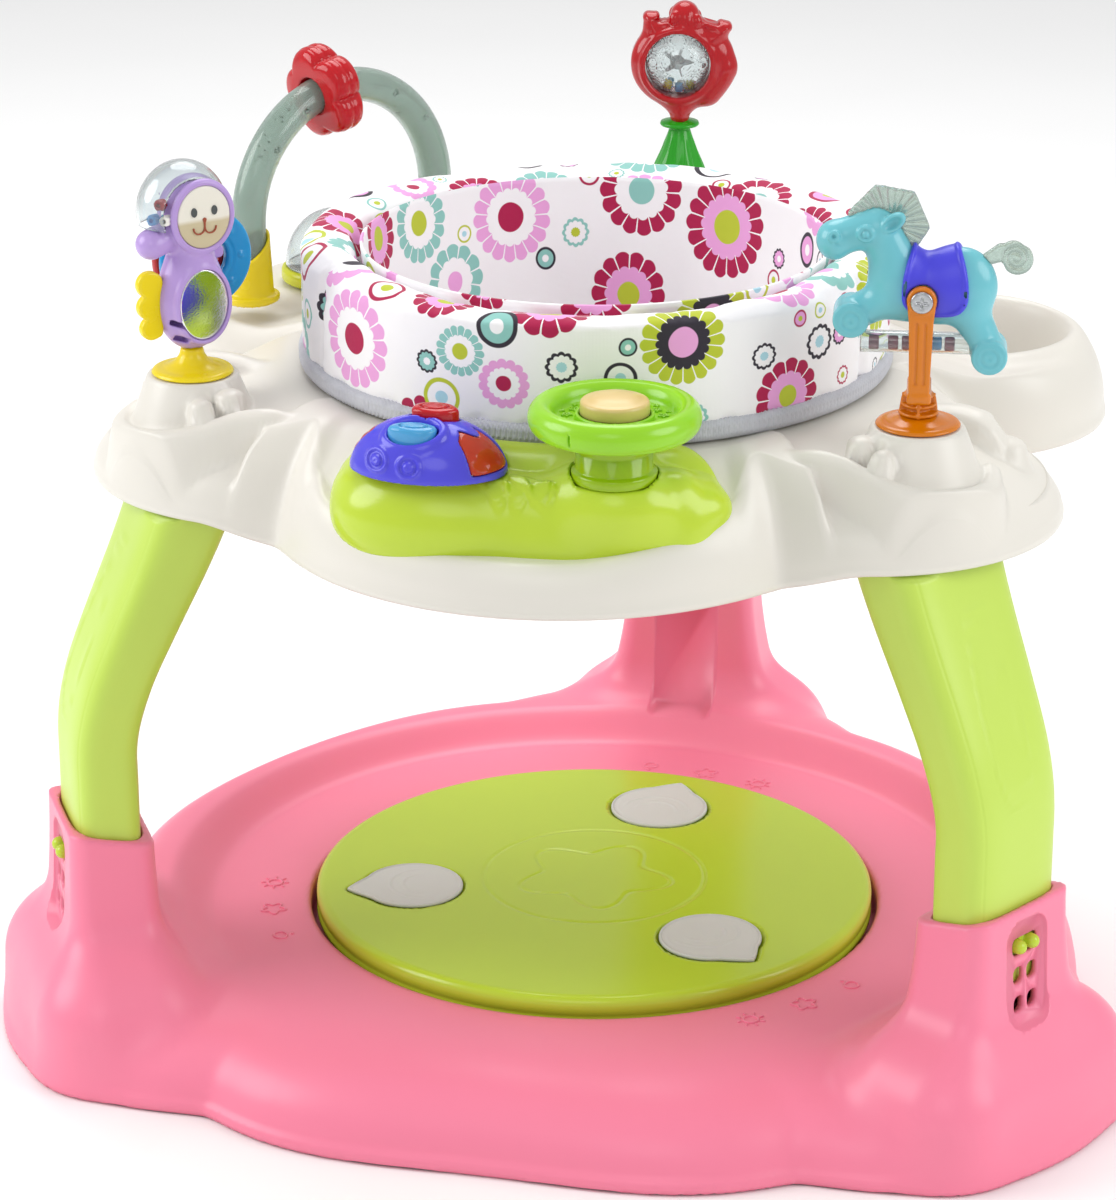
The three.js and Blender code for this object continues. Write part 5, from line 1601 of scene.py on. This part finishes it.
def build_sea_creature():
    """The spinning sea creature, its stand and its two rings."""
    stand = lathe("sea_stand",
                  [(0, 0.1), (25.8, 0.1)] + curve_profile([(26.8, 0.9), (26, 2.2), (18, 4.4), (11.6, 8),
                                                           (8.4, 12.4), (7.4, 16)], 8)
                  + [(6.6, 16.8), (5.2, 17), (5.2, 34), (0, 34)], SEA)
    finish_piece(stand, YELLOW, "tray", ["seahorse_stand"], "yellow_plastic")
    body = moulded("sea_body", sea_body, (-44, -22, 12), (34, 48, 138), 1.1, SEA)
    finish_piece(body, LAVENDER, "seahorse", ["seahorse_body"], "lavender_plastic")

    def face(x, y, z):
        x, z = sea_local(x, z)
        flat = np.hypot((x - 3) / 20, (z - 117) / 22) * 21 - 21
        bulge = -2.2 * np.sqrt(np.clip(1.05 - ((x - 3) / 21) ** 2 - ((z - 117) / 23) ** 2, 0, 1))
        return slab(y + 14.2 - bulge * 0.6, flat, 1.3, 0.6)

    disc = moulded("sea_face", face, (-21, -18, 80), (27, -11, 134), 0.75, SEA)
    finish_piece(disc, FACE, "seahorse", ["seahorse_face"], "white_plastic")
    front = -16.6

    def eyes(x, y, z):
        x, z = sea_local(x, z)
        best = x * 0 + 1e3
        for ex in (-5.0, 10.5):
            oval = np.hypot((x - ex) / 1.0, (z - 121.5) / 1.5) - 2.2
            best = np.minimum(best, slab(y - front + 0.35, oval, 0.7, 0.25))
        return best

    def mouth(x, y, z):
        x, z = sea_local(x, z)
        nose = hull_flat(x, z, [(2.8, 115.6, 1.5), (2.8, 113.4, 0.7), (2.8, 109.5, 0.55)])
        arcs = np.minimum(np.abs(np.hypot(x + 1.6, z - 110) - 4.2) - 0.55,
                          np.abs(np.hypot(x - 7.2, z - 110) - 4.2) - 0.55)
        arcs = np.maximum(arcs, z - 110.4)
        return slab(y - front + 0.3, np.minimum(nose, arcs), 0.7, 0.2)

    add_piece("sea_eyes", eyes, (-9, -19, 105), (15, -14, 117), 0.4, SEA, EYE, "seahorse", [],
              "white_plastic")
    add_piece("sea_mouth", mouth, (-8, -19, 92), (14, -14, 109), 0.4, SEA, BROWN, "seahorse", [],
              "white_plastic")

    def mirror(x, y, z):
        x, z = sea_local(x, z)
        flat = np.hypot((x - 2) / 18.7, (z - 54) / 25.3) * 22 - 22
        return slab(y + 13.4, flat, 0.9, 0.4)

    film = moulded("sea_mirror", mirror, (-20, -16, 20), (24, -11, 78), 0.8, SEA)
    finish_piece(film, MIRROR, "seahorse", ["seahorse_mirror"], "mirror_film")

    def fin(x, y, z):
        x, z = sea_local(x, z)
        flat = np.minimum(np.minimum(np.hypot(x + 32.5, z - 70) - 9.5, np.hypot(x + 33, z - 54) - 9),
                          np.hypot(x + 32, z - 38.5) - 8.2)
        flat = smin(flat, round_box(x, 0 * x, z, (-28, 0, 54), (4, 9, 22), 3), 2)
        return slab(y - 0.2, flat, 3.2, 1.6)

    yellow = moulded("sea_fin", fin, (-44, -4, 20), (-18, 5, 80), 0.9, SEA)
    finish_piece(yellow, YELLOW, "seahorse", ["seahorse_fin"], "yellow_plastic")

    def shell(x, y, z):
        body = np.maximum(head_shell(x, y, z), -head_shell(x, y, z, 1.7))
        px, pz = sea_local(x, z)
        body = smax(body, -(ellipsoid(px, y, pz, (3, 1, 117), (25.8, 18.8, 27.8))), 0.6)
        body = smax(body, 100.5 - z - 0.12 * (x + 30), 0.6)
        return smax(body, -12.6 - y, 0.6)

    add_piece("sea_head_dome", shell, (-40, -14, 92), (32, 32, 146), 1.0, SEA, CLEAR, "seahorse",
              ["seahorse_head_dome"], "clear_plastic")
    for name, middle, material in (("red", (-21.5, -5.5, 116.5), RED), ("blue", (-26, -4, 107), SKY_BEAD),
                                   ("white", (-20.5, -10.5, 107), WHITE)):
        def bead(x, y, z, middle=middle):
            along = (x - middle[0]) * 0.8 + (y - middle[1]) * 0.6
            across = np.hypot(-(x - middle[0]) * 0.6 + (y - middle[1]) * 0.8, z - middle[2])
            ripple = 0.35 * np.cos(np.arctan2(z - middle[2], y - middle[1]) * 6)
            return np.maximum(round_disc(along, across + ripple, 3.4, 3.3, 1.2), 1.4 - across)
        low = np.array(middle) - 5.4
        add_piece("sea_bead_" + name, bead, low, low + 10.8, 0.55, SEA, material, "seahorse", [],
                  "clear_plastic")
    for name, y0, material in (("blue", 24.5, BLUE), ("red", 35.0, RED)):
        def ring(x, y, z, y0=y0):
            u, w = x - 24, z - 67
            r = np.hypot(u, w)
            flat = np.maximum(r - 33, 14.2 - r)
            body = slab(y - y0, flat, 4, 3.2)
            for k in range(8):
                bump = np.sqrt((u - 24 * math.cos(k * math.pi / 4)) ** 2
                               + (w - 24 * math.sin(k * math.pi / 4)) ** 2
                               + ((np.abs(y - y0) - 3.7) * 1.6) ** 2) - 2.4
                body = smin(body, bump, 0.8)
            return smax(body, -(np.hypot(r - 18.5, np.abs(y - y0) - 4.6) - 1.2), 0.6)
        add_piece("ring_" + name, ring, (-10.5, y0 - 5.4, 32.5), (58.5, y0 + 5.4, 101.5), 1.1, SEA,
                  material, name + "_ring", ["toy_ring_" + name], name + "_plastic")


EYE = plastic("eye_print", "4A4F50", 0.3)
BROWN = plastic("mouth_print", "9C4A30", 0.4)
SKY_BEAD = plastic("sky_bead_left", "6FA9E4", 0.25)
FACE = two_tone("face_print", "E9E5D8", "C9BC9A", (466.4 + 106) / 1000)
build_sea_creature()

# ---------- rocking horse on the right lobe ----------
HORSE = toy_frame(polar(TOY_RING, 330, 466.4), 8)
BOLT, HORSE_SIZE = 86.0, 0.87


def horse_shape(x, y, z):
    """The horse's body."""
    x, z = x / HORSE_SIZE, (z - BOLT) / HORSE_SIZE
    half = np.abs(y)
    belly = ellipsoid(x, y, z, (10, 0, 2), (40, 13.6, 25))
    chest = ellipsoid(x, y, z, (-17, 0, 4), (22, 13.6, 23))
    rump = ellipsoid(x, y, z, (28, 0, 8), (24, 13.8, 26))
    body = smin(smin(belly, chest, 10), rump, 10)
    neck = capsule(x, y * 1.25, z, (-18, 0, 16), (-30, 0, 42), 18, 15)
    body = smin(body, neck, 9)
    head = capsule(x, y * 1.2, z, (-34, 0, 48), (-63, 0, 38), 14, 12.5)
    body = smin(body, head, 5)
    muzzle = ellipsoid(x, y, z, (-63, 0, 37), (12, 12.5, 14))
    body = smin(body, muzzle, 4)
    body = smax(body, -ring_y(x, half, z, (-66, 12.4, 29), 10.5, 0.9), 0.3)
    for ex, ez, radius in ((-41, 46, 4.7), (-63.5, 43.5, 3.0)):
        rim = ring_y(x, half, z, (ex, 12.0, ez), radius, 1.7)
        body = smin(body, rim, 1.6)
    gem = np.sqrt((x + 41) ** 2 + (half - 12) ** 2 + (z - 46) ** 2) - 2.9
    body = smin(body, gem, 0.5)
    ear = ellipsoid(x * 0.8 + z * 0.6, half, -x * 0.6 + z * 0.8,
                    (-22 * 0.8 + 54 * 0.6, 10, 22 * 0.6 + 54 * 0.8), (10, 5, 6.2))
    scoop = ellipsoid(x * 0.8 + z * 0.6, half, -x * 0.6 + z * 0.8,
                      (-22 * 0.8 + 54 * 0.6, 14.2, 22 * 0.6 + 54 * 0.8), (7.4, 4.6, 4.2))
    body = smin(body, ear, 2)
    body = smax(body, -scoop, 0.8)
    front = capsule(x, y, z, (-24, 0, -4), (-46, 0, -15), 13, 12.5)
    rear = capsule(x, y, z, (34, 0, -12), (46, 0, -38), 13.5, 12.5)
    body = smin(smin(body, front, 6), rear, 8)
    for hx, hz in ((-50, -18), (49, -43)):
        hoof = disc_y(x, y, z, (hx, 0, hz), 13, 14.4, 3)
        body = smin(body, hoof, 2)
        r = np.hypot(x - hx, z - hz)
        for radius in (4.3, 8.3):
            body = smax(body, -(np.hypot(r - radius - 1.7, half - 14.8) - 1.25), 0.5)
        body = smax(body, -(np.hypot(r, half - 14.8) - 1.4), 0.4)
    body = smax(body, -(np.hypot(x, z) * HORSE_SIZE - 4.9), 0.5)
    tube = np.hypot(y, (z + 36.5) * HORSE_SIZE) - 7.2
    body = smax(body, -np.maximum(tube, np.abs(x + 3) - 37.5), 1.5)
    return smax(body, half - 15.6, 1) * HORSE_SIZE


def saddle_flat(x, z):
    """The saddle's outline from the side."""
    top = z - 60
    sides = np.abs(x - 8) - 20.5 + 0.008 * (z - 4) ** 2
    bottom = -z - 12 + 0.012 * (x - 8) ** 2
    return smax(smax(sides, bottom, 8), top, 1.5)


def saddle_field(x, y, z):
    """The saddle cloth and its rim, laid over the body."""
    local = z - BOLT
    over = np.minimum(horse_shape_plain(x, y, z), horse_shape(x, y, z))
    cloth = smax(over - 2.4, -(over + 1.5), 0.6)
    flat = saddle_flat(x, local)
    body = smax(cloth, flat, 1.2)
    edge = np.hypot(np.maximum(over - 1.8, 0), flat + 1.8) - 1.5
    edge = smax(edge, -(over + 1.5), 0.5)
    body = smin(body, edge, 0.6)
    return smax(body, -(np.hypot(x, local) - 9.6), 0.4)


def horse_shape_plain(x, y, z):
    """The horse's trunk alone, which the saddle follows."""
    x, z = x / HORSE_SIZE, (z - BOLT) / HORSE_SIZE
    belly = ellipsoid(x, y, z, (10, 0, 2), (40, 13.6, 25))
    chest = ellipsoid(x, y, z, (-17, 0, 4), (22, 13.6, 23))
    rump = ellipsoid(x, y, z, (28, 0, 8), (24, 13.8, 26))
    return smin(smin(belly, chest, 10), rump, 10) * HORSE_SIZE


def build_horse():
    """The rocking horse, its plate, fork and bead tube."""
    plate = lathe("horse_disc", [(0, 0.1), (25.6, 0.1)]
                  + curve_profile([(26.8, 0.9), (26, 2.0), (19, 3.8), (12, 6.2)], 6)
                  + [(11, 6.8), (4, 6.9), (4, 11), (0, 11)], HORSE)
    finish_piece(plate, ORANGE, "tray", ["horse_plate"], "orange_plastic")

    def post(x, y, z):
        side = np.abs(y)
        flat = hull_flat(x, z, [(0, BOLT, 9.2), (0, BOLT - 14, 7.6), (0, 28, 6.4)])
        arm = slab(side - 18.2, flat, 2.4, 0.9)
        groove = round_box(np.abs(x) - 2.6, side - 20.8, z, (0, 0, 52), (1.0, 1.1, 20), 0.6)
        arm = smax(arm, -groove, 0.5)
        ringed = ring_y(x, side, z, (0, 20.2, BOLT), 7.6, 1.5)
        arm = smin(arm, ringed, 0.8)
        yoke = round_box(x, y, z, (0, 0, 22.5), (7.6, 20.4, 3.6), 2.2)
        r = np.hypot(x, y)
        stem = np.maximum(r - 6.6, np.abs(z - 15) - 8)
        ribs = np.minimum(np.minimum(round_disc(z - 20, r, 9.8, 0.9, 0.7),
                                     round_disc(z - 14, r, 11, 0.9, 0.7)),
                          round_disc(z - 8.6, r, 12.6, 1.0, 0.7))
        fins = np.maximum(np.minimum(np.abs(x), np.abs(y)) - 0.9,
                          np.maximum(r - 12.5 + (z - 7) * 0.15, np.abs(z - 14) - 7))
        body = smin(smin(stem, ribs, 0.8), fins, 0.8)
        body = smin(body, smin(arm, yoke, 2), 1.2)
        body = smax(body, -(np.hypot(x, z - BOLT) - 4.7), 0.4)
        return smax(body, -np.maximum(r - 4.5, z - 12.2), 0.3)

    add_piece("horse_fork", post, (-16, -22, 6.5), (16, 22, 97), 1.0, HORSE, ORANGE, "horse_fork",
              ["horse_post"], "orange_plastic")
    body = moulded("horse_body_shell", horse_shape, (-80, -17, 26), (66, 17, 154), 1.2, HORSE)
    finish_piece(body, TURQUOISE, "horse", ["horse_body"], "turquoise_plastic")
    blanket = moulded("horse_blanket", saddle_field, (-20, -19, 68), (36, 19, 122), 1.0, HORSE)
    finish_piece(blanket, SADDLE, "horse", ["horse_saddle"], "violet_plastic")

    def mane(x, y, z):
        u, w = x / HORSE_SIZE + 25.5, (z - BOLT) / HORSE_SIZE - 50
        r, angle = np.hypot(u, w), np.degrees(np.arctan2(w, u))
        flat = r - 29.5 + 3.2 * np.abs(np.sin((angle + 60) * DEG * 3.2))
        flat = smax(flat, -angle - 66, 2)
        thick = 2.2 + 0.5 * np.cos(angle * DEG * 26)
        body = slab(y, smax(flat, angle - 176, 2) * HORSE_SIZE, thick, 1.0)
        return smax(body, -(horse_shape(x, y, z) - 0.1), 0.4)

    add_piece("horse_crest", mane, (-62, -4, BOLT + 24), (4, 4, BOLT + 86), 0.9, HORSE, SMOKE, "horse",
              ["horse_mane"], "smoke_plastic")

    def tail(x, y, z):
        w = z - BOLT
        flat = hull_flat(x, w, [(38, 22, 3.5), (48, 27, 5.5), (55, 26, 8.4), (58, 23, 9.6)])
        r, angle = np.hypot(x - 57, w - 23.5), np.arctan2(w - 23.5, x - 57)
        spiral = np.abs(((r / 3.3 - angle / (2 * math.pi)) % 1) - 0.5) * 2
        body = slab(y, flat, 2.6 - 0.9 * smooth((r - 1) / 2) * spiral * (r < 8.4), 1.0)
        return smax(body, -(horse_shape(x, y, z) - 0.1), 0.4)

    add_piece("horse_curl", tail, (32, -4, BOLT + 8), (72, 4, BOLT + 40), 0.7, HORSE, SMOKE, "horse",
              ["horse_tail"], "smoke_plastic")

    def bolt(x, y, z):
        side = np.abs(y)
        r = np.hypot(x, z - BOLT)
        head = round_disc(side - 22.3, r, 6.9, 1.7, 0.9)
        cross = np.maximum(np.minimum(np.abs(x), np.abs(z - BOLT)) - 0.7, np.maximum(r - 3.6, 22.9 - side))
        return np.minimum(np.maximum(r - 4.1, side - 22), smax(head, -cross, 0.3))

    add_piece("horse_pivot", bolt, (-8, -25, BOLT - 8), (8, 25, BOLT + 8), 0.8, HORSE, STEEL, "horse_fork",
              ["horse_bolt"], "spring_steel")

    def tube(x, y, z):
        r = np.hypot(y, z - BOLT + 32)
        return smax(np.abs(r - 6.2) - 0.8, np.abs(x + 3) - 34.5, 0.6)

    add_piece("horse_tube", tube, (-40, -8, BOLT - 40), (34, 8, BOLT - 24), 0.8, HORSE, CLEAR, "horse",
              ["horse_bead_tube"], "clear_plastic")
    for i, (bx, material, lobes) in enumerate(((-17, WINE_BEAD, 5), (-8.5, WINE_BEAD, 5), (10, BLUE, 0),
                                               (18, WINE_BEAD, 5), (-29, WINE_BEAD, 5))):
        def bead(x, y, z, bx=bx, lobes=lobes):
            angle = np.arctan2(z - BOLT + 32.6, y)
            r = np.hypot(y, z - BOLT + 32.6)
            return round_disc(x - bx, r + 0.6 * np.cos(lobes * angle) * (lobes > 0), 4.2, 3.2, 1.2)
        add_piece(f"horse_bead_{i}", bead, (bx - 5, -6, BOLT - 38.5), (bx + 5, 6, BOLT - 26.5), 0.6, HORSE,
                  material, "horse", [], "clear_plastic")


WINE_BEAD = plastic("wine_bead", "8E3550", 0.3)
build_horse()

# ---------- flower on the back lobe ----------
FLOWER = toy_frame(np.array([0, 272, 460.4]), 13)
BLOOM = 130.0


def bloom_flat(x, z):
    """The flower head's outline."""
    w = z - BLOOM
    pod = np.hypot((x - 2) / 1.09, w / 0.97) - 34.5
    pod = smin(pod, hull_flat(x, w, [(0, -26, 13), (0, -38, 7.2)]), 7)
    crown = hull_flat(x, w, [(4, 24, 17), (3, 34, 10.5)])
    left = hull_flat(x, w, [(-17, 21, 12), (-23, 33, 4.2), (-18, 34, 3)])
    right = hull_flat(x, w, [(22, 18, 12), (33, 26, 4.0), (29, 28, 3)])
    body = smin(smin(pod, smin(left, right, 2), 3), crown, 3)
    leaf = hull_flat(x, w, [(31, -4, 9), (20, -22, 9)])
    return smin(body, leaf, 6)


def build_flower():
    """The flower, its stem, lenses, rattle and beads."""
    stem = lathe("bloom_stem",
                 [(0, 0.1), (23.6, 0.1)] + curve_profile([(24.6, 1), (24.2, 3.6), (24, 16), (22.6, 34),
                                                          (18, 52), (11.6, 68), (7.4, 82)], 8)
                 + [(8, 83.4), (13.6, 84), (14.2, 85), (13.6, 86.6), (6, 88.6), (4, 89.4), (3.8, 96),
                    (0, 96)], FLOWER,
                 ripple=lambda a, r,
                 z: 0.07 * smooth((80 - z) / 10) * smooth((z - 3) / 6)
                 * np.maximum(np.cos(3 * a + 0.5) ** 8,
                              np.cos(3 * a + 0.5 + smooth((74 - z) / 34) * 1.1) ** 8))
    finish_piece(stem, STEM, "tray", ["flower_stem"], "stem_plastic")

    def head(x, y, z):
        w = z - BLOOM
        flat = bloom_flat(x, z)
        swell = 13.5 - 5.5 * smooth((flat + 12) / 14)
        body = slab(y, flat, swell, 6)
        r = np.hypot(x + 2, w)
        rim = np.hypot(r - 25.6, np.abs(y) - 12.2) - 2.4
        body = smin(body, rim, 2.5)
        for sign in (-1, 1):
            gap, _ = segment_gap(x, w, (sign * 14 + 3, 29), (sign * 24 + 3, 26))
            body = smin(body, np.hypot(gap, np.abs(y) - 8.6) - 1.8, 3)
        for bx, bz in ((-4, 33), (11, 31)):
            knob = np.sqrt((x - bx) ** 2 + ((w - bz) * 0.7) ** 2 + (np.abs(y) - 8.5) ** 2) - 4.4
            body = smin(body, knob, 1.5)
        body = smax(body, -(r - 23.4), 0.8)
        return smax(body, -np.maximum(np.hypot(x, y) - 4.4, z - 97), 0.4)

    add_piece("bloom_shell", head, (-48, -18, 76), (48, 18, 184), 1.2, FLOWER, RED, "flower",
              ["flower_head"], "red_plastic")
    for side, name in ((-1, "front"), (1, "back")):
        def lens(x, y, z, side=side):
            outer = ellipsoid(x + 2, y, z, (0, 0, BLOOM), (23.2, 17.0, 23.2))
            inner = ellipsoid(x + 2, y, z, (0, 0, BLOOM), (22.0, 15.8, 22.0))
            return smax(np.maximum(outer, -inner), 0.2 - side * y, 0.4)
        low, high = (-30, -19 if side < 0 else -1, BLOOM - 27), (26, 1 if side < 0 else 19, BLOOM + 27)
        add_piece("bloom_lens_" + name, lens, low, high, 0.9, FLOWER, CLEAR, "flower",
                  ["flower_lens_" + name], "clear_plastic")

    def rattle(x, y, z):
        w = z - BLOOM
        r, angle = np.hypot(x + 2, w), np.arctan2(w, x + 2)
        vanes = np.maximum(np.abs(np.sin(angle * 2.5)) * r - 0.9, np.hypot(r, y * 1.1) - 11)
        ball = np.sqrt((x + 2) ** 2 + y ** 2 + w ** 2) - 5.2
        axle = np.maximum(r - 2.2, np.abs(y) - 13)
        return smin(smin(ball, vanes, 1), axle, 1.2)

    add_piece("bloom_rattle", rattle, (-14, -14, BLOOM - 12), (10, 14, BLOOM + 12), 0.7, FLOWER, PEARL,
              "rattle", ["flower_rattle"], "blue_plastic")
    for i, (bx, by, bz, material) in enumerate(((-9, -3, -15, YELLOW), (-1, -6, -16.5, SKY),
                                                (7, -3, -15.5, CHARTREUSE), (1, 3, -17, PEARL),
                                                (-7, 4, -15.5, SKY))):
        def bead(x, y, z, bx=bx, by=by, bz=bz):
            return round_disc(z - BLOOM - bz, np.hypot(x - bx, y - by), 2.9, 3.0, 1.0)
        middle = np.array([bx, by, BLOOM + bz])
        add_piece(f"bloom_bead_{i}", bead, middle - 4.4, middle + 4.4, 0.55, FLOWER, material, "flower",
                  [], "clear_plastic")


PEARL = plastic("pearl_plastic", "D8DBDA", 0.2)
SKY = plastic("sky_bead", "5AA6E0", 0.25)
build_flower()

# ---------- bead arch and popper on the back left lobe ----------
ARCH = toy_frame(polar(262, 146, 451.8), 56)
SPAN, STRAIGHT, TUBE = 86.0, 53.0, 12.0


def arch_axis(x, y, z):
    """Distance from the arch's centre line, and how far round it a point is."""
    up = np.maximum(z - STRAIGHT, 0)
    over = np.hypot(np.hypot(x, up) - SPAN, y)
    legs = np.hypot(np.abs(x) - SPAN, y)
    return np.where(z > STRAIGHT, over, legs), np.degrees(np.arctan2(up, x))


def build_arch():
    """The arch, its feet and its sliding bead."""
    def tube(x, y, z):
        away, _ = arch_axis(x, y, z)
        body = np.maximum(away - TUBE, 6.2 - z)
        hollow = np.maximum(away - TUBE + 2.2, 8 - z)
        body = np.maximum(body, -hollow)
        for at in (38, 62, 118, 142):
            px, pz = SPAN * math.cos(at * DEG), STRAIGHT + SPAN * math.sin(at * DEG)
            rivet = np.sqrt((x - px) ** 2 + (z - pz) ** 2 + (np.abs(y) - TUBE) ** 2) - 2.6
            body = smax(body, -rivet, 0.6)
            pin = np.sqrt((x - px) ** 2 + (z - pz) ** 2 + (np.abs(y) - TUBE + 1.2) ** 2) - 1.4
            body = np.minimum(body, pin)
        return body

    add_piece("arch_hoop", tube, (-100, -14, 5), (100, 14, 153), 1.35, ARCH, SMOKE, "tray", ["arch_tube"],
              "smoke_plastic")
    for name, sign in (("front", -1), ("back", 1)):
        def foot(x, y, z, sign=sign):
            r = np.hypot(x - sign * SPAN, y)
            flange = round_disc(z - 2.6, r, 20.6, 2.6, 1.8)
            top = 38 - 0.8 * sign * (x - sign * SPAN)
            cup = np.maximum(r - 16.8 + z * 0.05, z - top)
            body = smax(smin(flange, cup, 3), z - top, 1)
            return smax(body, -np.maximum(r - 12.5, 5.6 - z), 0.8)
        centre = np.array([sign * SPAN, 0, 26])
        add_piece("arch_foot_" + name, foot, centre - (23, 23, 27.5), centre + (23, 23, 28), 1.1, ARCH,
                  YELLOW, "tray", ["arch_collar_" + name], "yellow_plastic")

    tilt = -10 * DEG

    def bead(x, y, z):
        w = z - STRAIGHT
        along = x * math.cos(tilt) - w * math.sin(tilt)
        out = x * math.sin(tilt) + w * math.cos(tilt) - SPAN
        r, angle = np.hypot(y, out), np.arctan2(out, y)
        lobe = 30.5 + 7.5 * (np.abs(np.cos(2.5 * angle)) ** 0.7 - 0.6)
        half = 12.4 - 2.2 * smooth((r - 20) / 14)
        a, b = r - lobe + 6, np.abs(along) - half + 6
        body = np.minimum(np.maximum(a, b), 0) + np.hypot(np.maximum(a, 0), np.maximum(b, 0)) - 6
        for ring in (-6.5, 0, 6.5):
            body = smax(body, -(np.hypot(r - lobe - 0.6, along - ring) - 1.3), 0.8)
        return smax(body, -(r - 13.5), 1)

    middle = np.array([-math.sin(tilt) * SPAN * -1, 0, STRAIGHT + math.cos(tilt) * SPAN])
    add_piece("arch_slider", bead, middle - (24, 37, 37), middle + (24, 37, 37), 1.2, ARCH, RED_CLEAR,
              "bead", ["arch_bead"], "red_clear_plastic")


def build_popper():
    """The popper: base, clear dome and spinner."""
    frame_at = toy_frame(polar(262, 148, 451.8), 0)
    base = lathe("popper_ring", [(0, 0.2), (35.4, 0.2), (37.2, 1), (38, 2.4), (38, 8), (37.4, 9.6),
                                 (36, 10.8), (33.6, 10.9), (33, 10.3), (33, 8), (5, 8), (4, 14), (0, 14)],
                 frame_at)
    finish_piece(base, CHARTREUSE, "tray", ["popper_base"], "yellow_green_plastic")
    t = np.linspace(0, math.pi / 2, 40)
    outer = [(35 * math.cos(a), 11.4 + 40 * math.sin(a)) for a in t]
    inner = [(33.4 * math.cos(a), 11.4 + 38.4 * math.sin(a)) for a in t[::-1]]
    dome = lathe("popper_bubble", outer + inner + [(34.4, 10.9)], frame_at)
    finish_piece(dome, CLEAR, "tray", ["popper_dome"], "clear_plastic")

    def spinner(x, y, z):
        r = np.hypot(x, y)
        disc = round_disc(z - 13.4, r, 23.6, 1.4, 1)
        hub = np.maximum(round_disc(z - 14.5, r, 9, 4, 1.5), 5.9 - r)
        vane = round_box(x, y, z, (0, 0, 27), (1.6, 19, 12), 1.4)
        beads = np.minimum(np.sqrt((x - 13) ** 2 + y ** 2 + (z - 19) ** 2),
                           np.sqrt((x + 13) ** 2 + y ** 2 + (z - 19) ** 2)) - 4.4
        body = smin(smin(disc, hub, 1), vane, 1.5)
        body = np.minimum(body, beads)
        return smax(body, -np.maximum(r - 5.8, z - 18.5), 0.4)

    add_piece("popper_vane", spinner, (-25, -25, 9), (25, 25, 41), 0.9, frame_at, ORANGE, "spinner",
              ["popper_spinner"], "orange_plastic")


build_arch()
build_popper()

# ---------- raised signs on the base and the remaining small parts ----------
def icon(kind, x, y):
    """Distance, across the base, from the lines of a small raised sun, star or drop."""
    r, angle = np.hypot(x, y), np.arctan2(y, x)
    if kind == "sun":
        return np.minimum(np.abs(r - 5) - 0.9, np.maximum(np.abs(r - 8.4) - 1.6,
                                                          np.abs(np.sin(angle * 4)) * r - 2.2))
    if kind == "star":
        return np.abs(r - 7 - 1.8 * np.cos(5 * angle)) - 0.9
    return np.minimum(np.abs(np.hypot(x, y + 2) - 5 + 0.4 * np.maximum(y, 0)) - 0.9,
                      np.hypot(x, y - 6) - 1.2)


def build_icons():
    """Three groups of raised signs round the pad."""
    for group, angle in (("left", 201), ("front", 321), ("rear", 81)):
        for i, (kind, offset) in enumerate((("sun", -11), ("star", 0), ("drop", 11))):
            spot = toy_frame(polar(226, angle + offset, FLOOR_Z), angle + offset + 90)

            def field(x, y, z, kind=kind):
                side, up = icon(kind, x, y), np.abs(z - 0.1) - 0.9
                return smax(side, up, 0.5)

            add_piece(f"icon_{group}_{i}", field, (-11, -11, -1.4), (11, 11, 1.6), 0.75, spot, PINK,
                      "base", [], "pink_plastic")


build_icons()
for node in ("foot_left", "foot_right", "foot_rear"):
    paint(node, RUBBER)
paint("sound_unit", WHITE)
paint("battery_door", GREY)
paint("pad_turntable", GREY)
paint("pad_spring", STEEL)
